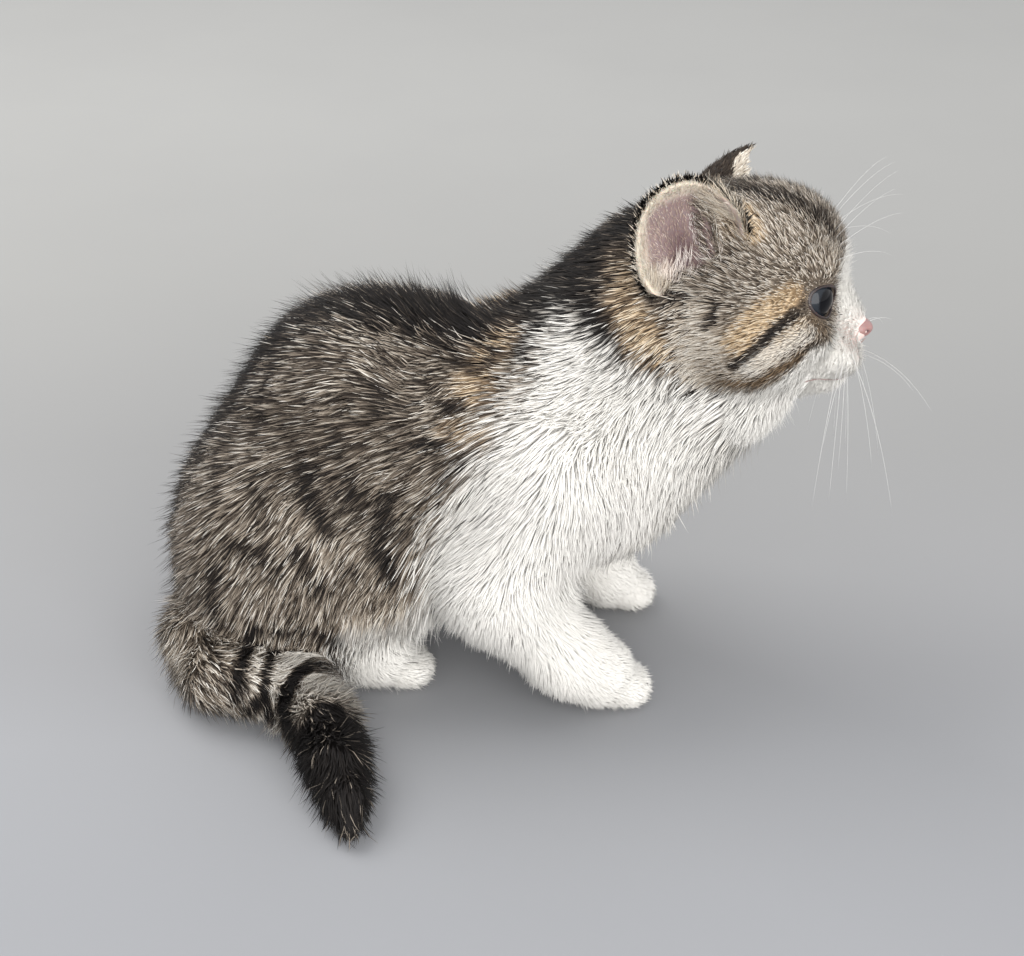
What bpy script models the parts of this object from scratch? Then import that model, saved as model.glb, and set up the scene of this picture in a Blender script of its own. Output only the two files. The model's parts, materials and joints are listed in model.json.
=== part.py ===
"""A kitten that sits on its haunches and leans forward to look, life size, as a still museum model.

Metres, +Z up, the floor at z = 0. The nose points along +X and the kitten's left side is +Y.
The body is modelled whole, from rounded masses that flow into each other, and is then parted into
its named pieces by thin cuts. The head has a frame of its own, with its origin in the middle of the skull.
"""

import math
import random

import bmesh
import bpy
import numpy as np
from mathutils import Euler, Matrix, Vector

# Gaps and fineness
GAP = 0.0003
COARSE_VOXEL = 0.0030
FINE_VOXEL = 0.0014
HEAD_DETAIL_TRIANGLES = 6000
BODY_DETAIL_TRIANGLES = 2800
MERGE_DISTANCES = (0.00005, 0.00002, 0.000005)
WORKSHOP = 0.5

# From the place where the animal is modelled to the row's origin, under the middle of its box
ORIGIN_SHIFT = Vector((0.0045, 0.0233, 0.0))

# Pose
HIP_SIDEWAYS = 0.007
CHEST_SIDEWAYS = 0.002
HIP_X, CHEST_X = -0.080, 0.020
HEAD_CENTRE = Vector((0.0725, 0.0010, 0.1415))
HEAD_TURN = Euler((math.radians(-9), math.radians(0), math.radians(-9)))

# Eyes, in the head's frame
EYE_CENTRE = Vector((0.0133, 0.0130, -0.0056))
EYE_RADIUS = 0.0076
EYE_OUTWARD = math.radians(28)
LID_RADIUS = 0.0090
EYE_SLANT = math.radians(28)
EYE_OPENING = Vector((0.0060, 0.0060, 0.0047))
EYE_OPENING_AHEAD = 0.0085

# Nose leather and mouth, in the head's frame
NOSE_ZONE = (Vector((0.0362, 0, -0.0178)), Vector((0.0042, 0.0050, 0.0040)))
NOSTRIL = (Vector((0.0353, 0.0030, -0.0187)), Vector((0.0018, 0.0011, 0.0010)))
MOUTH_LINE = (
    (0.0160, 0.0140, -0.0325),
    (0.0225, 0.0110, -0.0338),
    (0.0285, 0.0065, -0.0343),
    (0.0318, 0.0030, -0.0330),
    (0.0325, 0.0000, -0.0305),
)
PHILTRUM = ((0.0325, 0, -0.0305), (0.0335, 0, -0.0265), (0.0345, 0, -0.0222))
GROOVE_RADIUS = 0.0006

# Ears, in the head's frame: middle of the rim, way up, way the cup faces, half sizes of the rim and depth
EARS = {
    -1: {
        "middle": Vector((-0.0178, -0.0325, 0.0135)),
        "up": Vector((-0.30, -0.10, 0.92)),
        "facing": Vector((0.22, -0.93, 0.18)),
        "half_width": 0.0160,
        "half_height": 0.0195,
        "depth": 0.0095,
        "taper": 0.14,
        "point": 0.05,
    },
    1: {
        "middle": Vector((-0.0088, 0.0235, 0.0128)),
        "up": Vector((0.34, 0.22, 0.90)),
        "facing": Vector((0.80, 0.58, -0.20)),
        "half_width": 0.0150,
        "half_height": 0.0180,
        "depth": 0.0085,
        "taper": 0.30,
        "point": 0.28,
    },
}
EAR_THICKNESS = 0.0017
EAR_ROOT_RADII = Vector((0.0100, 0.0070, 0.0110))


BLACK_BROWN = (0.075, 0.060, 0.052)
GREY_TABBY = (0.250, 0.215, 0.185)
WARM_TABBY = (0.330, 0.250, 0.180)
WHITE = (0.860, 0.840, 0.800)
FINISHES = {
    "head": (GREY_TABBY, 0.85),
    "left_ear": ((0.400, 0.320, 0.290), 0.80),
    "right_ear": ((0.480, 0.360, 0.340), 0.80),
    "left_eye": ((0.020, 0.025, 0.035), 0.10),
    "right_eye": ((0.020, 0.025, 0.035), 0.10),
    "nose": ((0.620, 0.300, 0.280), 0.45),
    "neck": (WARM_TABBY, 0.85),
    "chest": (WHITE, 0.85),
    "flanks": (GREY_TABBY, 0.85),
    "rump": (GREY_TABBY, 0.85),
    "left_foreleg": (WHITE, 0.85),
    "right_foreleg": (WHITE, 0.85),
    "left_forepaw": (WHITE, 0.85),
    "right_forepaw": (WHITE, 0.85),
    "left_thigh": (GREY_TABBY, 0.85),
    "right_thigh": (GREY_TABBY, 0.85),
    "left_hind_paw": (WHITE, 0.85),
    "right_hind_paw": (WHITE, 0.85),
    "tail_base": (GREY_TABBY, 0.85),
    "tail_middle": (GREY_TABBY, 0.85),
    "tail_tip": (BLACK_BROWN, 0.85),
}


def midline(x):
    """The sideways place of the body's middle plane at x: the hips sit a little to the kitten's left."""
    share = min(max((CHEST_X - x) / (CHEST_X - HIP_X), 0.0), 1.2)
    return CHEST_SIDEWAYS + share * (HIP_SIDEWAYS - CHEST_SIDEWAYS)


def turned(degrees):
    """The rotation for roll, pitch and yaw in degrees."""
    return Euler([math.radians(a) for a in degrees]).to_matrix()


def ball(x, side, z, radii, turn=(0, 0, 0), blend=0.012):
    """A rounded mass: its centre, with side measured from the body's middle plane, its three radii and its turn."""
    return {
        "kind": "ball",
        "centre": Vector((x, midline(x) + side, z)),
        "radii": Vector(radii),
        "turn": turned(turn),
        "blend": blend,
    }


def limb(start, end, start_radius, end_radius, blend=0.010):
    """A tapering round mass between two points, in the row's own coordinates."""
    return {
        "kind": "limb",
        "start": Vector(start),
        "end": Vector(end),
        "radii": (start_radius, end_radius),
        "blend": blend,
    }


def both_sides(make):
    """The masses that make(side) gives for the kitten's right, side = -1, and its left, side = 1."""
    return make(-1) + make(1)


def torso_masses():
    """Hips, loin, ribs, belly and the deep, forward-leaning chest."""
    return [
        ball(-0.0755, 0, 0.045, (0.036, 0.036, 0.047), turn=(0, 14, 0)),
        ball(-0.0440, 0, 0.085, (0.041, 0.036, 0.045), turn=(0, 0, 0), blend=0.020),
        ball(-0.0060, 0, 0.081, (0.046, 0.034, 0.041), blend=0.020),
        ball(-0.0300, 0, 0.052, (0.044, 0.034, 0.036), blend=0.015),
        limb((0.026, 0.002, 0.072), (0.058, 0.001, 0.104), 0.032, 0.0265, blend=0.018),
    ]


def neck_masses():
    """The nape, from the withers up to the back of the skull."""
    return [
        limb((0.014, 0.003, 0.100), (0.045, 0.001, 0.1325), 0.028, 0.0270, blend=0.015),
    ]


def foreleg_masses(shoulder, elbow, wrist, paw):
    """One foreleg, from the shoulder down to the paw's pad."""
    return [
        limb(shoulder, elbow, 0.0215, 0.0170, blend=0.014),
        limb(elbow, wrist, 0.0170, 0.0132, blend=0.010),
        limb(wrist, paw, 0.0132, 0.0122, blend=0.006),
    ]


def toe_masses(paw, heading, toe_radius, reach):
    """Four toes that fan out in front of a paw; heading is the way the paw points, in degrees."""
    toes = []
    for number in range(4):
        across = (number - 1.5) * 0.62
        angle = math.radians(heading) + 0.42 * across
        ahead = reach * (1.0 - 0.10 * abs(across) ** 2)
        place = Vector(paw) + Vector((math.cos(angle) * ahead, math.sin(angle) * ahead, 0))
        place.z = toe_radius * 0.92
        toes.append(
            {
                "kind": "ball",
                "centre": place,
                "radii": Vector((toe_radius * 1.35, toe_radius * 0.95, toe_radius)),
                "turn": Euler((0, 0, angle)).to_matrix(),
                "blend": 0.0035,
            }
        )
    return toes


FORELEGS = {
    -1: {
        "shoulder": (0.012, -0.021, 0.082),
        "elbow": (-0.004, -0.028, 0.044),
        "wrist": (0.018, -0.0300, 0.0190),
        "paw": (0.0275, -0.0290, 0.0118),
        "heading": 6,
    },
    1: {
        "shoulder": (0.014, 0.026, 0.082),
        "elbow": (0.004, 0.031, 0.046),
        "wrist": (0.024, 0.030, 0.0185),
        "paw": (0.0325, 0.0255, 0.0115),
        "heading": -2,
    },
}


def foreleg_set(side):
    """Foreleg and toes of one side."""
    leg = FORELEGS[side]
    masses = foreleg_masses(leg["shoulder"], leg["elbow"], leg["wrist"], leg["paw"])
    return masses + toe_masses(leg["paw"], leg["heading"], 0.0062, 0.0095)


def hindleg_set(side):
    """Folded thigh, and the long hind foot that lies under it."""
    heel_x, toe_x = -0.080, -0.0425
    heel = (heel_x, midline(heel_x) + side * 0.0195, 0.0115)
    toe = (toe_x, midline(toe_x) + side * 0.0200, 0.0105)
    return [
        ball(-0.0630, side * 0.023, 0.046, (0.040, 0.021, 0.042), turn=(0, 16, 0), blend=0.014),
        limb(heel, toe, 0.0118, 0.0105, blend=0.006),
    ] + toe_masses(toe, side * -3, 0.0056, 0.0086)


TAIL_ZONE_MARGIN = 0.0040
TAIL_MIDDLE_CUT = ((-0.0830, -0.0345, 0.0120), (1, 0, 0))
TAIL_TIP_CUT = ((-0.0600, -0.0530, 0.0120), (0.35, -0.94, 0))

# Cuts across the trunk: a point of the plane, and the way to the piece that is parted off
HEAD_CUT = ((0.0490, 0.0, 0.1250), (0.93, 0, 0.37))
NECK_CUT = ((0.0350, 0.0, 0.1070), (0.72, 0, 0.69))
CHEST_CUT = ((-0.0120, 0.0, 0.0800), (0.97, 0, 0.22))
BELLY_CUT = ((-0.0600, 0.0, 0.0800), (0.97, 0, 0.22))

# Zones of the legs
FORELEG_ZONE_RADII = (0.0250, 0.0225, 0.0200, 0.0185, 0.0175)
HIND_PAW_ZONES = {-1: Vector((-0.0420, -0.0150, 0.0090)), 1: Vector((-0.0420, 0.0250, 0.0090))}
HIND_PAW_RADII = Vector((0.0190, 0.0150, 0.0135))
THIGH_PLACE = Vector((-0.0640, 0.0370, 0.0430))
THIGH_ZONE = Vector((0.0380, 0.0260, 0.0390))

TAIL_POINTS = (
    (-0.0960, 0.0040, 0.0260, 0.0130),
    (-0.1025, -0.0170, 0.0170, 0.0128),
    (-0.0950, -0.0320, 0.0128, 0.0122),
    (-0.0800, -0.0345, 0.0122, 0.0120),
    (-0.0672, -0.0400, 0.0120, 0.0120),
    (-0.0585, -0.0550, 0.0118, 0.0120),
    (-0.0530, -0.0720, 0.0105, 0.0108),
    (-0.0495, -0.0850, 0.0080, 0.0080),
    (-0.0480, -0.0935, 0.0050, 0.0040),
)


# Locks of hair: share of the length, breadth and height above the coat at each ring of a lock
LOCK_PROFILE = ((0.0, 0.60, 0.0), (0.34, 1.00, 0.25), (0.70, 0.72, 0.60))
LOCK_FLATNESS = 0.34
LOCK_ROOT_DEPTH = 0.0030
LOCK_SEED = 11

# Rows of locks: the line that they follow, towards its end, and the sector around it in degrees from the top
LOCK_ROWS = (
    {
        "path": [row[:3] for row in TAIL_POINTS[1:8]],
        "rings": 9,
        "around": 5,
        "angles": (-118, 118),
        "length": 0.0190,
        "width": 0.0086,
        "lift": 0.0021,
        "droop": 0.0,
    },
    {
        "path": ((0.022, 0.002, 0.105), (-0.004, 0.004, 0.085), (-0.044, 0.005, 0.075), (-0.074, 0.006, 0.050)),
        "rings": 8,
        "around": 4,
        "angles": (-46, 46),
        "length": 0.0270,
        "width": 0.0150,
        "lift": 0.0030,
        "droop": 0.10,
    },
    {
        "path": ((-0.066, 0.006, 0.055), (-0.085, 0.007, 0.024)),
        "rings": 3,
        "around": 4,
        "angles": (-42, 42),
        "length": 0.0250,
        "width": 0.0150,
        "lift": 0.0030,
        "droop": 0.60,
    },
    {
        "path": ((0.060, 0.000, 0.100), (0.044, 0.001, 0.084), (0.024, 0.002, 0.062)),
        "rings": 4,
        "around": 4,
        "angles": (125, 235),
        "length": 0.0200,
        "width": 0.0125,
        "lift": 0.0028,
        "droop": 0.45,
    },
)


def tail_masses():
    """The tail, which leaves under the hips and curls round the near side on the floor."""
    masses = []
    for (x0, y0, z0, r0), (x1, y1, z1, r1) in zip(TAIL_POINTS, TAIL_POINTS[1:]):
        masses.append(limb((x0, y0, z0), (x1, y1, z1), r0, r1, blend=0.004))
    return masses


def head_frame():
    """The head's place in the row."""
    return Matrix.Translation(HEAD_CENTRE) @ HEAD_TURN.to_matrix().to_4x4()


def in_head(mass):
    """The same mass, moved from the head's frame into the row."""
    frame = head_frame()
    moved = dict(mass)
    if mass["kind"] == "ball":
        moved["centre"] = frame @ mass["centre"]
        moved["turn"] = frame.to_3x3() @ mass["turn"]
    else:
        moved["start"] = frame @ mass["start"]
        moved["end"] = frame @ mass["end"]
    return moved


def head_ball(x, y, z, radii, turn=(0, 0, 0), blend=0.006):
    """A rounded mass in the head's frame."""
    return in_head(
        {"kind": "ball", "centre": Vector((x, y, z)), "radii": Vector(radii), "turn": turned(turn), "blend": blend}
    )


def head_masses():
    """Skull, brows, cheeks, muzzle and chin of a young kitten: a round dome over a short face."""
    masses = [
        head_ball(-0.0020, 0, 0.0000, (0.0262, 0.0285, 0.0250), blend=0.008),
        head_ball(0.0090, 0, 0.0042, (0.0163, 0.0210, 0.0168), blend=0.008),
        head_ball(0.0055, 0, -0.0255, (0.0205, 0.0200, 0.0148), blend=0.010),
        head_ball(-0.0030, 0, -0.0385, (0.0145, 0.0180, 0.0140), blend=0.010),
        head_ball(0.0195, 0, -0.0235, (0.0130, 0.0130, 0.0115), blend=0.006),
        in_head(limb((0.0220, 0, -0.0055), (0.0303, 0, -0.0158), 0.0062, 0.0046, blend=0.005)),
        head_ball(0.0318, 0, -0.0180, (0.0036, 0.0046, 0.0036), blend=0.002),
        head_ball(0.0212, 0, -0.0334, (0.0080, 0.0086, 0.0053), blend=0.004),
    ]
    for side in (-1, 1):
        masses += [
            head_ball(0.0172, side * 0.0110, 0.0042, (0.0080, 0.0095, 0.0060), blend=0.004),
            head_ball(0.0020, side * 0.0182, -0.0165, (0.0185, 0.0135, 0.0160), blend=0.008),
            head_ball(0.0145, side * 0.0152, -0.0160, (0.0098, 0.0082, 0.0078), blend=0.005),
            head_ball(0.0255, side * 0.0068, -0.0268, (0.0080, 0.0082, 0.0074), blend=0.003),
            head_ball(EYE_CENTRE.x, side * EYE_CENTRE.y, EYE_CENTRE.z, (LID_RADIUS,) * 3, blend=0.003),
        ]
    return masses


def flesh_masses():
    """Every mass of the body, in the order in which they flow together."""
    return (
        torso_masses()
        + neck_masses()
        + both_sides(hindleg_set)
        + both_sides(foreleg_set)
        + tail_masses()
        + head_masses()
    )


def ball_distance(points, mass):
    """How far each point is from a ball's surface, negative inside, near enough for a short step."""
    local = (points - np.array(mass["centre"])) @ np.array(mass["turn"])
    radii = np.array(mass["radii"])
    scaled = np.linalg.norm(local / radii, axis=1)
    slope = np.linalg.norm(local / radii**2, axis=1)
    return scaled * (scaled - 1.0) / np.maximum(slope, 1e-9)


def limb_distance(points, mass):
    """How far each point is from a tapering limb's surface, negative inside."""
    start, end = np.array(mass["start"]), np.array(mass["end"])
    along = end - start
    share = np.clip((points - start) @ along / (along @ along), 0.0, 1.0)
    radius = mass["radii"][0] + share * (mass["radii"][1] - mass["radii"][0])
    return np.linalg.norm(points - start - share[:, None] * along, axis=1) - radius


def flesh_distance(points, masses):
    """How far each point is from the whole body's surface, where neighbouring masses flow together."""
    total = np.full(len(points), 1.0)
    for mass in masses:
        one = ball_distance(points, mass) if mass["kind"] == "ball" else limb_distance(points, mass)
        overlap = np.maximum(mass["blend"] - np.abs(total - one), 0.0) / mass["blend"]
        total = np.minimum(total, one) - overlap**2 * mass["blend"] / 4
    return total


def flesh_slope(points, masses, step=0.0003):
    """The direction in which the distance grows, by small differences."""
    slope = np.empty_like(points)
    for axis in range(3):
        shift = np.zeros(3)
        shift[axis] = step
        slope[:, axis] = flesh_distance(points + shift, masses) - flesh_distance(points - shift, masses)
    return slope / (2 * step)


def select_only(obj):
    """Makes obj the one selected and active object."""
    bpy.ops.object.select_all(action="DESELECT")
    obj.select_set(True)
    bpy.context.view_layer.objects.active = obj


def apply_modifiers(obj):
    """Applies every modifier of obj in order."""
    select_only(obj)
    for modifier in list(obj.modifiers):
        bpy.ops.object.modifier_apply(modifier=modifier.name)


def add_ball(centre, radii, turn, segments=20, rings=12):
    """An ellipsoid primitive."""
    bpy.ops.mesh.primitive_uv_sphere_add(segments=segments, ring_count=rings, radius=1.0)
    obj = bpy.context.active_object
    size = Matrix.Diagonal((*radii, 1.0))
    obj.data.transform(Matrix.Translation(centre) @ turn.to_4x4() @ size)
    return obj


def add_limb(start, end, start_radius, end_radius):
    """A cone with a ball at each end."""
    along = Vector(end) - Vector(start)
    bpy.ops.mesh.primitive_cone_add(vertices=20, radius1=start_radius, radius2=end_radius, depth=along.length)
    cone = bpy.context.active_object
    turn = along.to_track_quat("Z", "Y").to_matrix().to_4x4()
    cone.data.transform(Matrix.Translation((Vector(start) + Vector(end)) / 2) @ turn)
    upright = Matrix.Identity(3)
    return [
        cone,
        add_ball(start, (start_radius,) * 3, upright, 16, 10),
        add_ball(end, (end_radius,) * 3, upright, 16, 10),
    ]


def join(objects, name):
    """Joins the objects into one named object."""
    bpy.ops.object.select_all(action="DESELECT")
    for obj in objects:
        obj.select_set(True)
    bpy.context.view_layer.objects.active = objects[0]
    bpy.ops.object.join()
    objects[0].name = name
    objects[0].data.name = name
    return objects[0]


def read_points(mesh):
    """The mesh's vertices as an array."""
    points = np.empty(len(mesh.vertices) * 3, np.float32)
    mesh.vertices.foreach_get("co", points)
    return points.reshape(-1, 3).astype(np.float64)


def write_points(mesh, points):
    """Puts the vertices where the array says."""
    mesh.vertices.foreach_set("co", points.astype(np.float32).ravel())
    mesh.update()


def relaxed(points, edges, share=0.5):
    """Each point moved part of the way to the middle of its neighbours."""
    total, count = np.zeros_like(points), np.zeros(len(points))
    for one, other in ((0, 1), (1, 0)):
        np.add.at(total, edges[:, one], points[edges[:, other]])
        np.add.at(count, edges[:, one], 1)
    return points + share * (total / count[:, None] - points)


def on_flesh(points, masses, steps=2):
    """The points moved along the slope until they lie on the flowing surface."""
    for _ in range(steps):
        slope = flesh_slope(points, masses)
        away = flesh_distance(points, masses)
        points = points - slope * (away / np.maximum((slope**2).sum(axis=1), 0.05))[:, None]
    return points


def settle_on_flesh(obj, masses, rounds=3):
    """Evens out the mesh and lays it on the flowing surface."""
    edges = np.array([edge.vertices[:] for edge in obj.data.edges])
    points = read_points(obj.data)
    for _ in range(rounds):
        points = on_flesh(relaxed(points, edges), masses)
    write_points(obj.data, points)


def remesh(obj, voxel):
    """One even closed skin over everything in obj."""
    modifier = obj.modifiers.new("Skin", "REMESH")
    modifier.mode = "VOXEL"
    modifier.voxel_size = voxel
    apply_modifiers(obj)


def whole_body(masses):
    """The whole animal in one piece, ears, eyes and nose leather left out."""
    pieces = []
    for mass in masses:
        if mass["kind"] == "ball":
            pieces.append(add_ball(mass["centre"], mass["radii"], mass["turn"]))
        else:
            pieces += add_limb(mass["start"], mass["end"], *mass["radii"])
    body = join(pieces, "body")
    remesh(body, COARSE_VOXEL)
    settle_on_flesh(body, masses)
    remesh(body, FINE_VOXEL)
    settle_on_flesh(body, masses)
    return body


def surface_toward(start, way, masses, reach=0.09):
    """Where a line from inside the body leaves it, found by halving."""
    near, far = 0.0, reach
    for _ in range(18):
        middle = (near + far) / 2
        point = np.array([start + way * middle])
        if flesh_distance(point, masses)[0] < 0:
            near = middle
        else:
            far = middle
    return start + way * near


def outward_normal(place, masses):
    """The way out of the body at a place on its surface."""
    return Vector(flesh_slope(np.array([place]), masses)[0]).normalized()


def lock_line(root, lie, length, masses):
    """Places, ways on and ways out at each ring of a lock and its tip, walked along the coat from its root."""
    stops = [share for share, _, _ in LOCK_PROFILE] + [1.0]
    place, way = Vector(root), Vector(lie)
    normal = outward_normal(place, masses)
    line = [(place, way, normal)]
    for before, after in zip(stops, stops[1:]):
        ahead = place + way * length * (after - before)
        place = Vector(on_flesh(np.array([ahead]), masses)[0])
        normal = outward_normal(place, masses)
        way = (way - normal * way.dot(normal)).normalized()
        line.append((place, way, normal))
    return line


def lock(root, lie, masses, length, width, lift):
    """One flat tapered lock of hair that lies along the coat: its root is sunk and its tip stands off by lift."""
    obj = bpy.data.objects.new("lock", bpy.data.meshes.new("lock"))
    bpy.context.scene.collection.objects.link(obj)
    mesh = bmesh.new()
    line = lock_line(root, lie, length, masses)
    rings = []
    for (share, breadth, height), (place, way, normal) in zip(LOCK_PROFILE, line):
        across = normal.cross(way).normalized()
        middle = place + normal * (height * lift - LOCK_ROOT_DEPTH * (1 - share) ** 2)
        half, thick = width * breadth / 2, width * breadth * LOCK_FLATNESS / 2
        corners = (across * half, normal * thick, -across * half, -normal * thick)
        rings.append([mesh.verts.new(middle + corner) for corner in corners])
    place, way, normal = line[-1]
    tip = mesh.verts.new(place + normal * lift)
    mesh.faces.new(reversed(rings[0]))
    for ring, after in zip(rings, rings[1:]):
        for k in range(4):
            mesh.faces.new((ring[k], ring[(k + 1) % 4], after[(k + 1) % 4], after[k]))
    for k in range(4):
        mesh.faces.new((rings[-1][k], rings[-1][(k + 1) % 4], tip))
    bmesh.ops.recalc_face_normals(mesh, faces=mesh.faces)
    mesh.to_mesh(obj.data)
    mesh.free()
    return obj


def path_point(path, share):
    """The place and the direction at a share of the way along a line of points."""
    points = [Vector(point) for point in path]
    scaled = share * (len(points) - 1)
    index = min(int(scaled), len(points) - 2)
    step = points[index + 1] - points[index]
    return points[index] + step * (scaled - index), step.normalized()


def locks_along(row, masses, chance):
    """Locks in staggered rings around a line through the body, lying along it towards its end."""
    locks = []
    for ring in range(row["rings"]):
        place, along = path_point(row["path"], (ring + 0.5) / row["rings"])
        side = along.cross(Vector((0, 0, 1))).normalized()
        top = side.cross(along)
        low, high = row["angles"]
        for k in range(row["around"]):
            share = (k + 0.5 * (ring % 2) + 0.25 + chance.uniform(-0.12, 0.12)) / row["around"]
            angle = math.radians(low + share * (high - low))
            way = top * math.cos(angle) + side * math.sin(angle)
            root = surface_toward(place, way, masses)
            normal = outward_normal(root, masses)
            lie = along + Vector((0, 0, -row["droop"])) + side * chance.uniform(-0.12, 0.12)
            lie = (lie - normal * lie.dot(normal)).normalized()
            length = row["length"] * chance.uniform(0.85, 1.15)
            locks.append(lock(root, lie, masses, length, row["width"], row["lift"] * chance.uniform(0.8, 1.2)))
    return locks


def grow_locks(body, masses):
    """Joins every lock of hair to the body in one union."""
    chance = random.Random(LOCK_SEED)
    bunch = bpy.data.collections.new("locks")
    bpy.context.scene.collection.children.link(bunch)
    for row in LOCK_ROWS:
        for obj in locks_along(row, masses, chance):
            for other in list(obj.users_collection):
                other.objects.unlink(obj)
            bunch.objects.link(obj)
    modifier = body.modifiers.new("Locks", "BOOLEAN")
    modifier.operation = "UNION"
    modifier.operand_type = "COLLECTION"
    modifier.collection = bunch
    modifier.solver = "MANIFOLD"
    apply_modifiers(body)
    discard(*bunch.objects)
    bpy.data.collections.remove(bunch)


def side_name(side):
    """Which of the kitten's own sides this is."""
    return "left" if side > 0 else "right"


def duplicate(obj, name):
    """A separate copy of obj."""
    twin = obj.copy()
    twin.data = obj.data.copy()
    twin.name = name
    twin.data.name = name
    bpy.context.scene.collection.objects.link(twin)
    return twin


def discard(*objects):
    """Takes objects out of the scene."""
    for obj in objects:
        bpy.data.objects.remove(obj)


def thin_out(obj, triangles):
    """Collapses edges until about this many triangles are left, most of them where the shape bends."""
    select_only(obj)
    bpy.ops.object.mode_set(mode="EDIT")
    bpy.ops.mesh.select_all(action="SELECT")
    bpy.ops.mesh.quads_convert_to_tris()
    bpy.ops.object.mode_set(mode="OBJECT")
    modifier = obj.modifiers.new("Fewer", "DECIMATE")
    modifier.ratio = min(1.0, triangles / len(obj.data.polygons))
    apply_modifiers(obj)


def combine(obj, other, operation):
    """Cuts, keeps or joins obj with another closed solid, which stays as it is."""
    modifier = obj.modifiers.new(operation.title(), "BOOLEAN")
    modifier.operation = operation
    modifier.solver = "MANIFOLD"
    modifier.object = other
    apply_modifiers(obj)


def largest_surface(mesh):
    """Keeps only the largest of the closed surfaces in a mesh that is being edited."""
    unseen, surfaces = set(mesh.verts), []
    while unseen:
        surface, border = set(), [unseen.pop()]
        while border:
            vertex = border.pop()
            surface.add(vertex)
            fresh = {edge.other_vert(vertex) for edge in vertex.link_edges} & unseen
            unseen -= fresh
            border += fresh
        surfaces.append(surface)
    surfaces.sort(key=len, reverse=True)
    for surface in surfaces[1:]:
        bmesh.ops.delete(mesh, geom=list(surface), context="VERTS")


def tidy(obj):
    """Keeps the largest surface, then merges points that nearly coincide as far as it stays closed."""
    mesh = bmesh.new()
    mesh.from_mesh(obj.data)
    bmesh.ops.triangulate(mesh, faces=mesh.faces)
    largest_surface(mesh)
    mesh.to_mesh(obj.data)
    mesh.free()
    for distance in MERGE_DISTANCES:
        mesh = bmesh.new()
        mesh.from_mesh(obj.data)
        bmesh.ops.remove_doubles(mesh, verts=mesh.verts, dist=distance)
        bmesh.ops.dissolve_degenerate(mesh, edges=mesh.edges, dist=distance)
        bmesh.ops.triangulate(mesh, faces=mesh.faces)
        closed = all(edge.is_manifold for edge in mesh.edges)
        if closed:
            largest_surface(mesh)
            mesh.to_mesh(obj.data)
        mesh.free()
        if closed:
            return


def egg_zone(centre, radii, turn=None):
    """A zone shaped like an egg: a function that makes it, grown by a given amount."""

    def make(grow):
        """The zone's solid."""
        bigger = Vector(radii) + Vector((grow,) * 3)
        return add_ball(Vector(centre), bigger, turn or Matrix.Identity(3), 18, 10)

    return make


def half_space_zone(point, normal):
    """Everything on the side of a plane that its normal points to."""
    normal = Vector(normal).normalized()

    def make(grow):
        """The zone's solid, a block much larger than the animal."""
        bpy.ops.mesh.primitive_cube_add(size=WORKSHOP)
        block = bpy.context.active_object
        turn = normal.to_track_quat("Z", "Y").to_matrix().to_4x4()
        middle = Vector(point) + normal * (WORKSHOP / 2 - grow)
        block.data.transform(Matrix.Translation(middle) @ turn)
        return block

    return make


def tube(points, radii, name, steps=3):
    """A closed round tube through the points, made from a curve with a radius at each point."""
    curve = bpy.data.curves.new(name, "CURVE")
    curve.dimensions = "3D"
    curve.bevel_depth = 1.0
    curve.bevel_resolution = 2
    curve.resolution_u = steps
    curve.use_fill_caps = True
    spline = curve.splines.new("BEZIER")
    spline.bezier_points.add(len(points) - 1)
    for bezier_point, point, radius in zip(spline.bezier_points, points, radii):
        bezier_point.co = point
        bezier_point.handle_left_type = "AUTO"
        bezier_point.handle_right_type = "AUTO"
        bezier_point.radius = radius
    obj = bpy.data.objects.new(name, curve)
    bpy.context.scene.collection.objects.link(obj)
    select_only(obj)
    bpy.ops.object.convert(target="MESH")
    solid = bpy.context.active_object
    mesh = bmesh.new()
    mesh.from_mesh(solid.data)
    bmesh.ops.remove_doubles(mesh, verts=mesh.verts, dist=0.00001)
    mesh.to_mesh(solid.data)
    mesh.free()
    return solid


def tail_zone(grow):
    """The tail's own zone, a tube a little wider than the tail."""
    points = [Vector(row[:3]) for row in TAIL_POINTS]
    points[-1] = points[-1] + (points[-1] - points[-2])
    radii = [row[3] + TAIL_ZONE_MARGIN + grow for row in TAIL_POINTS]
    radii[-1] = radii[-2]
    return tube(points, radii, "tail zone")


def part_off(whole, zone, name):
    """Parts the piece inside a zone from the whole, with a gap between them."""
    piece = duplicate(whole, name)
    inside, outside = zone(0.0), zone(GAP)
    combine(piece, inside, "INTERSECT")
    combine(whole, outside, "DIFFERENCE")
    discard(inside, outside)
    return piece


def head_point(place):
    """A place given in the head's frame."""
    return head_frame() @ Vector(place)


def eye_frame(side):
    """An eye's place and turn: its first axis is the way it looks, its second the long way of the lids."""
    inward = Euler((0, 0, -side * -EYE_OUTWARD)).to_matrix()
    slant = Euler((-side * EYE_SLANT, 0, 0)).to_matrix()
    centre = Vector((EYE_CENTRE.x, side * EYE_CENTRE.y, EYE_CENTRE.z))
    return head_frame() @ Matrix.Translation(centre) @ (inward @ slant).to_4x4()


def eye_ball(side, radius):
    """A ball around the eye's centre, with its poles on the line of sight."""
    bpy.ops.mesh.primitive_uv_sphere_add(segments=16, ring_count=9, radius=radius)
    obj = bpy.context.active_object
    forward_pole = Matrix.Rotation(math.pi / 2, 4, "Y")
    obj.data.transform(eye_frame(side) @ forward_pole)
    return obj


def lid_opening(side):
    """The opening between the lids: an egg that reaches in from the front."""
    frame = eye_frame(side)
    centre = frame @ Vector((EYE_OPENING_AHEAD, 0, 0))
    return add_ball(centre, EYE_OPENING, frame.to_3x3(), 22, 12)


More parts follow.
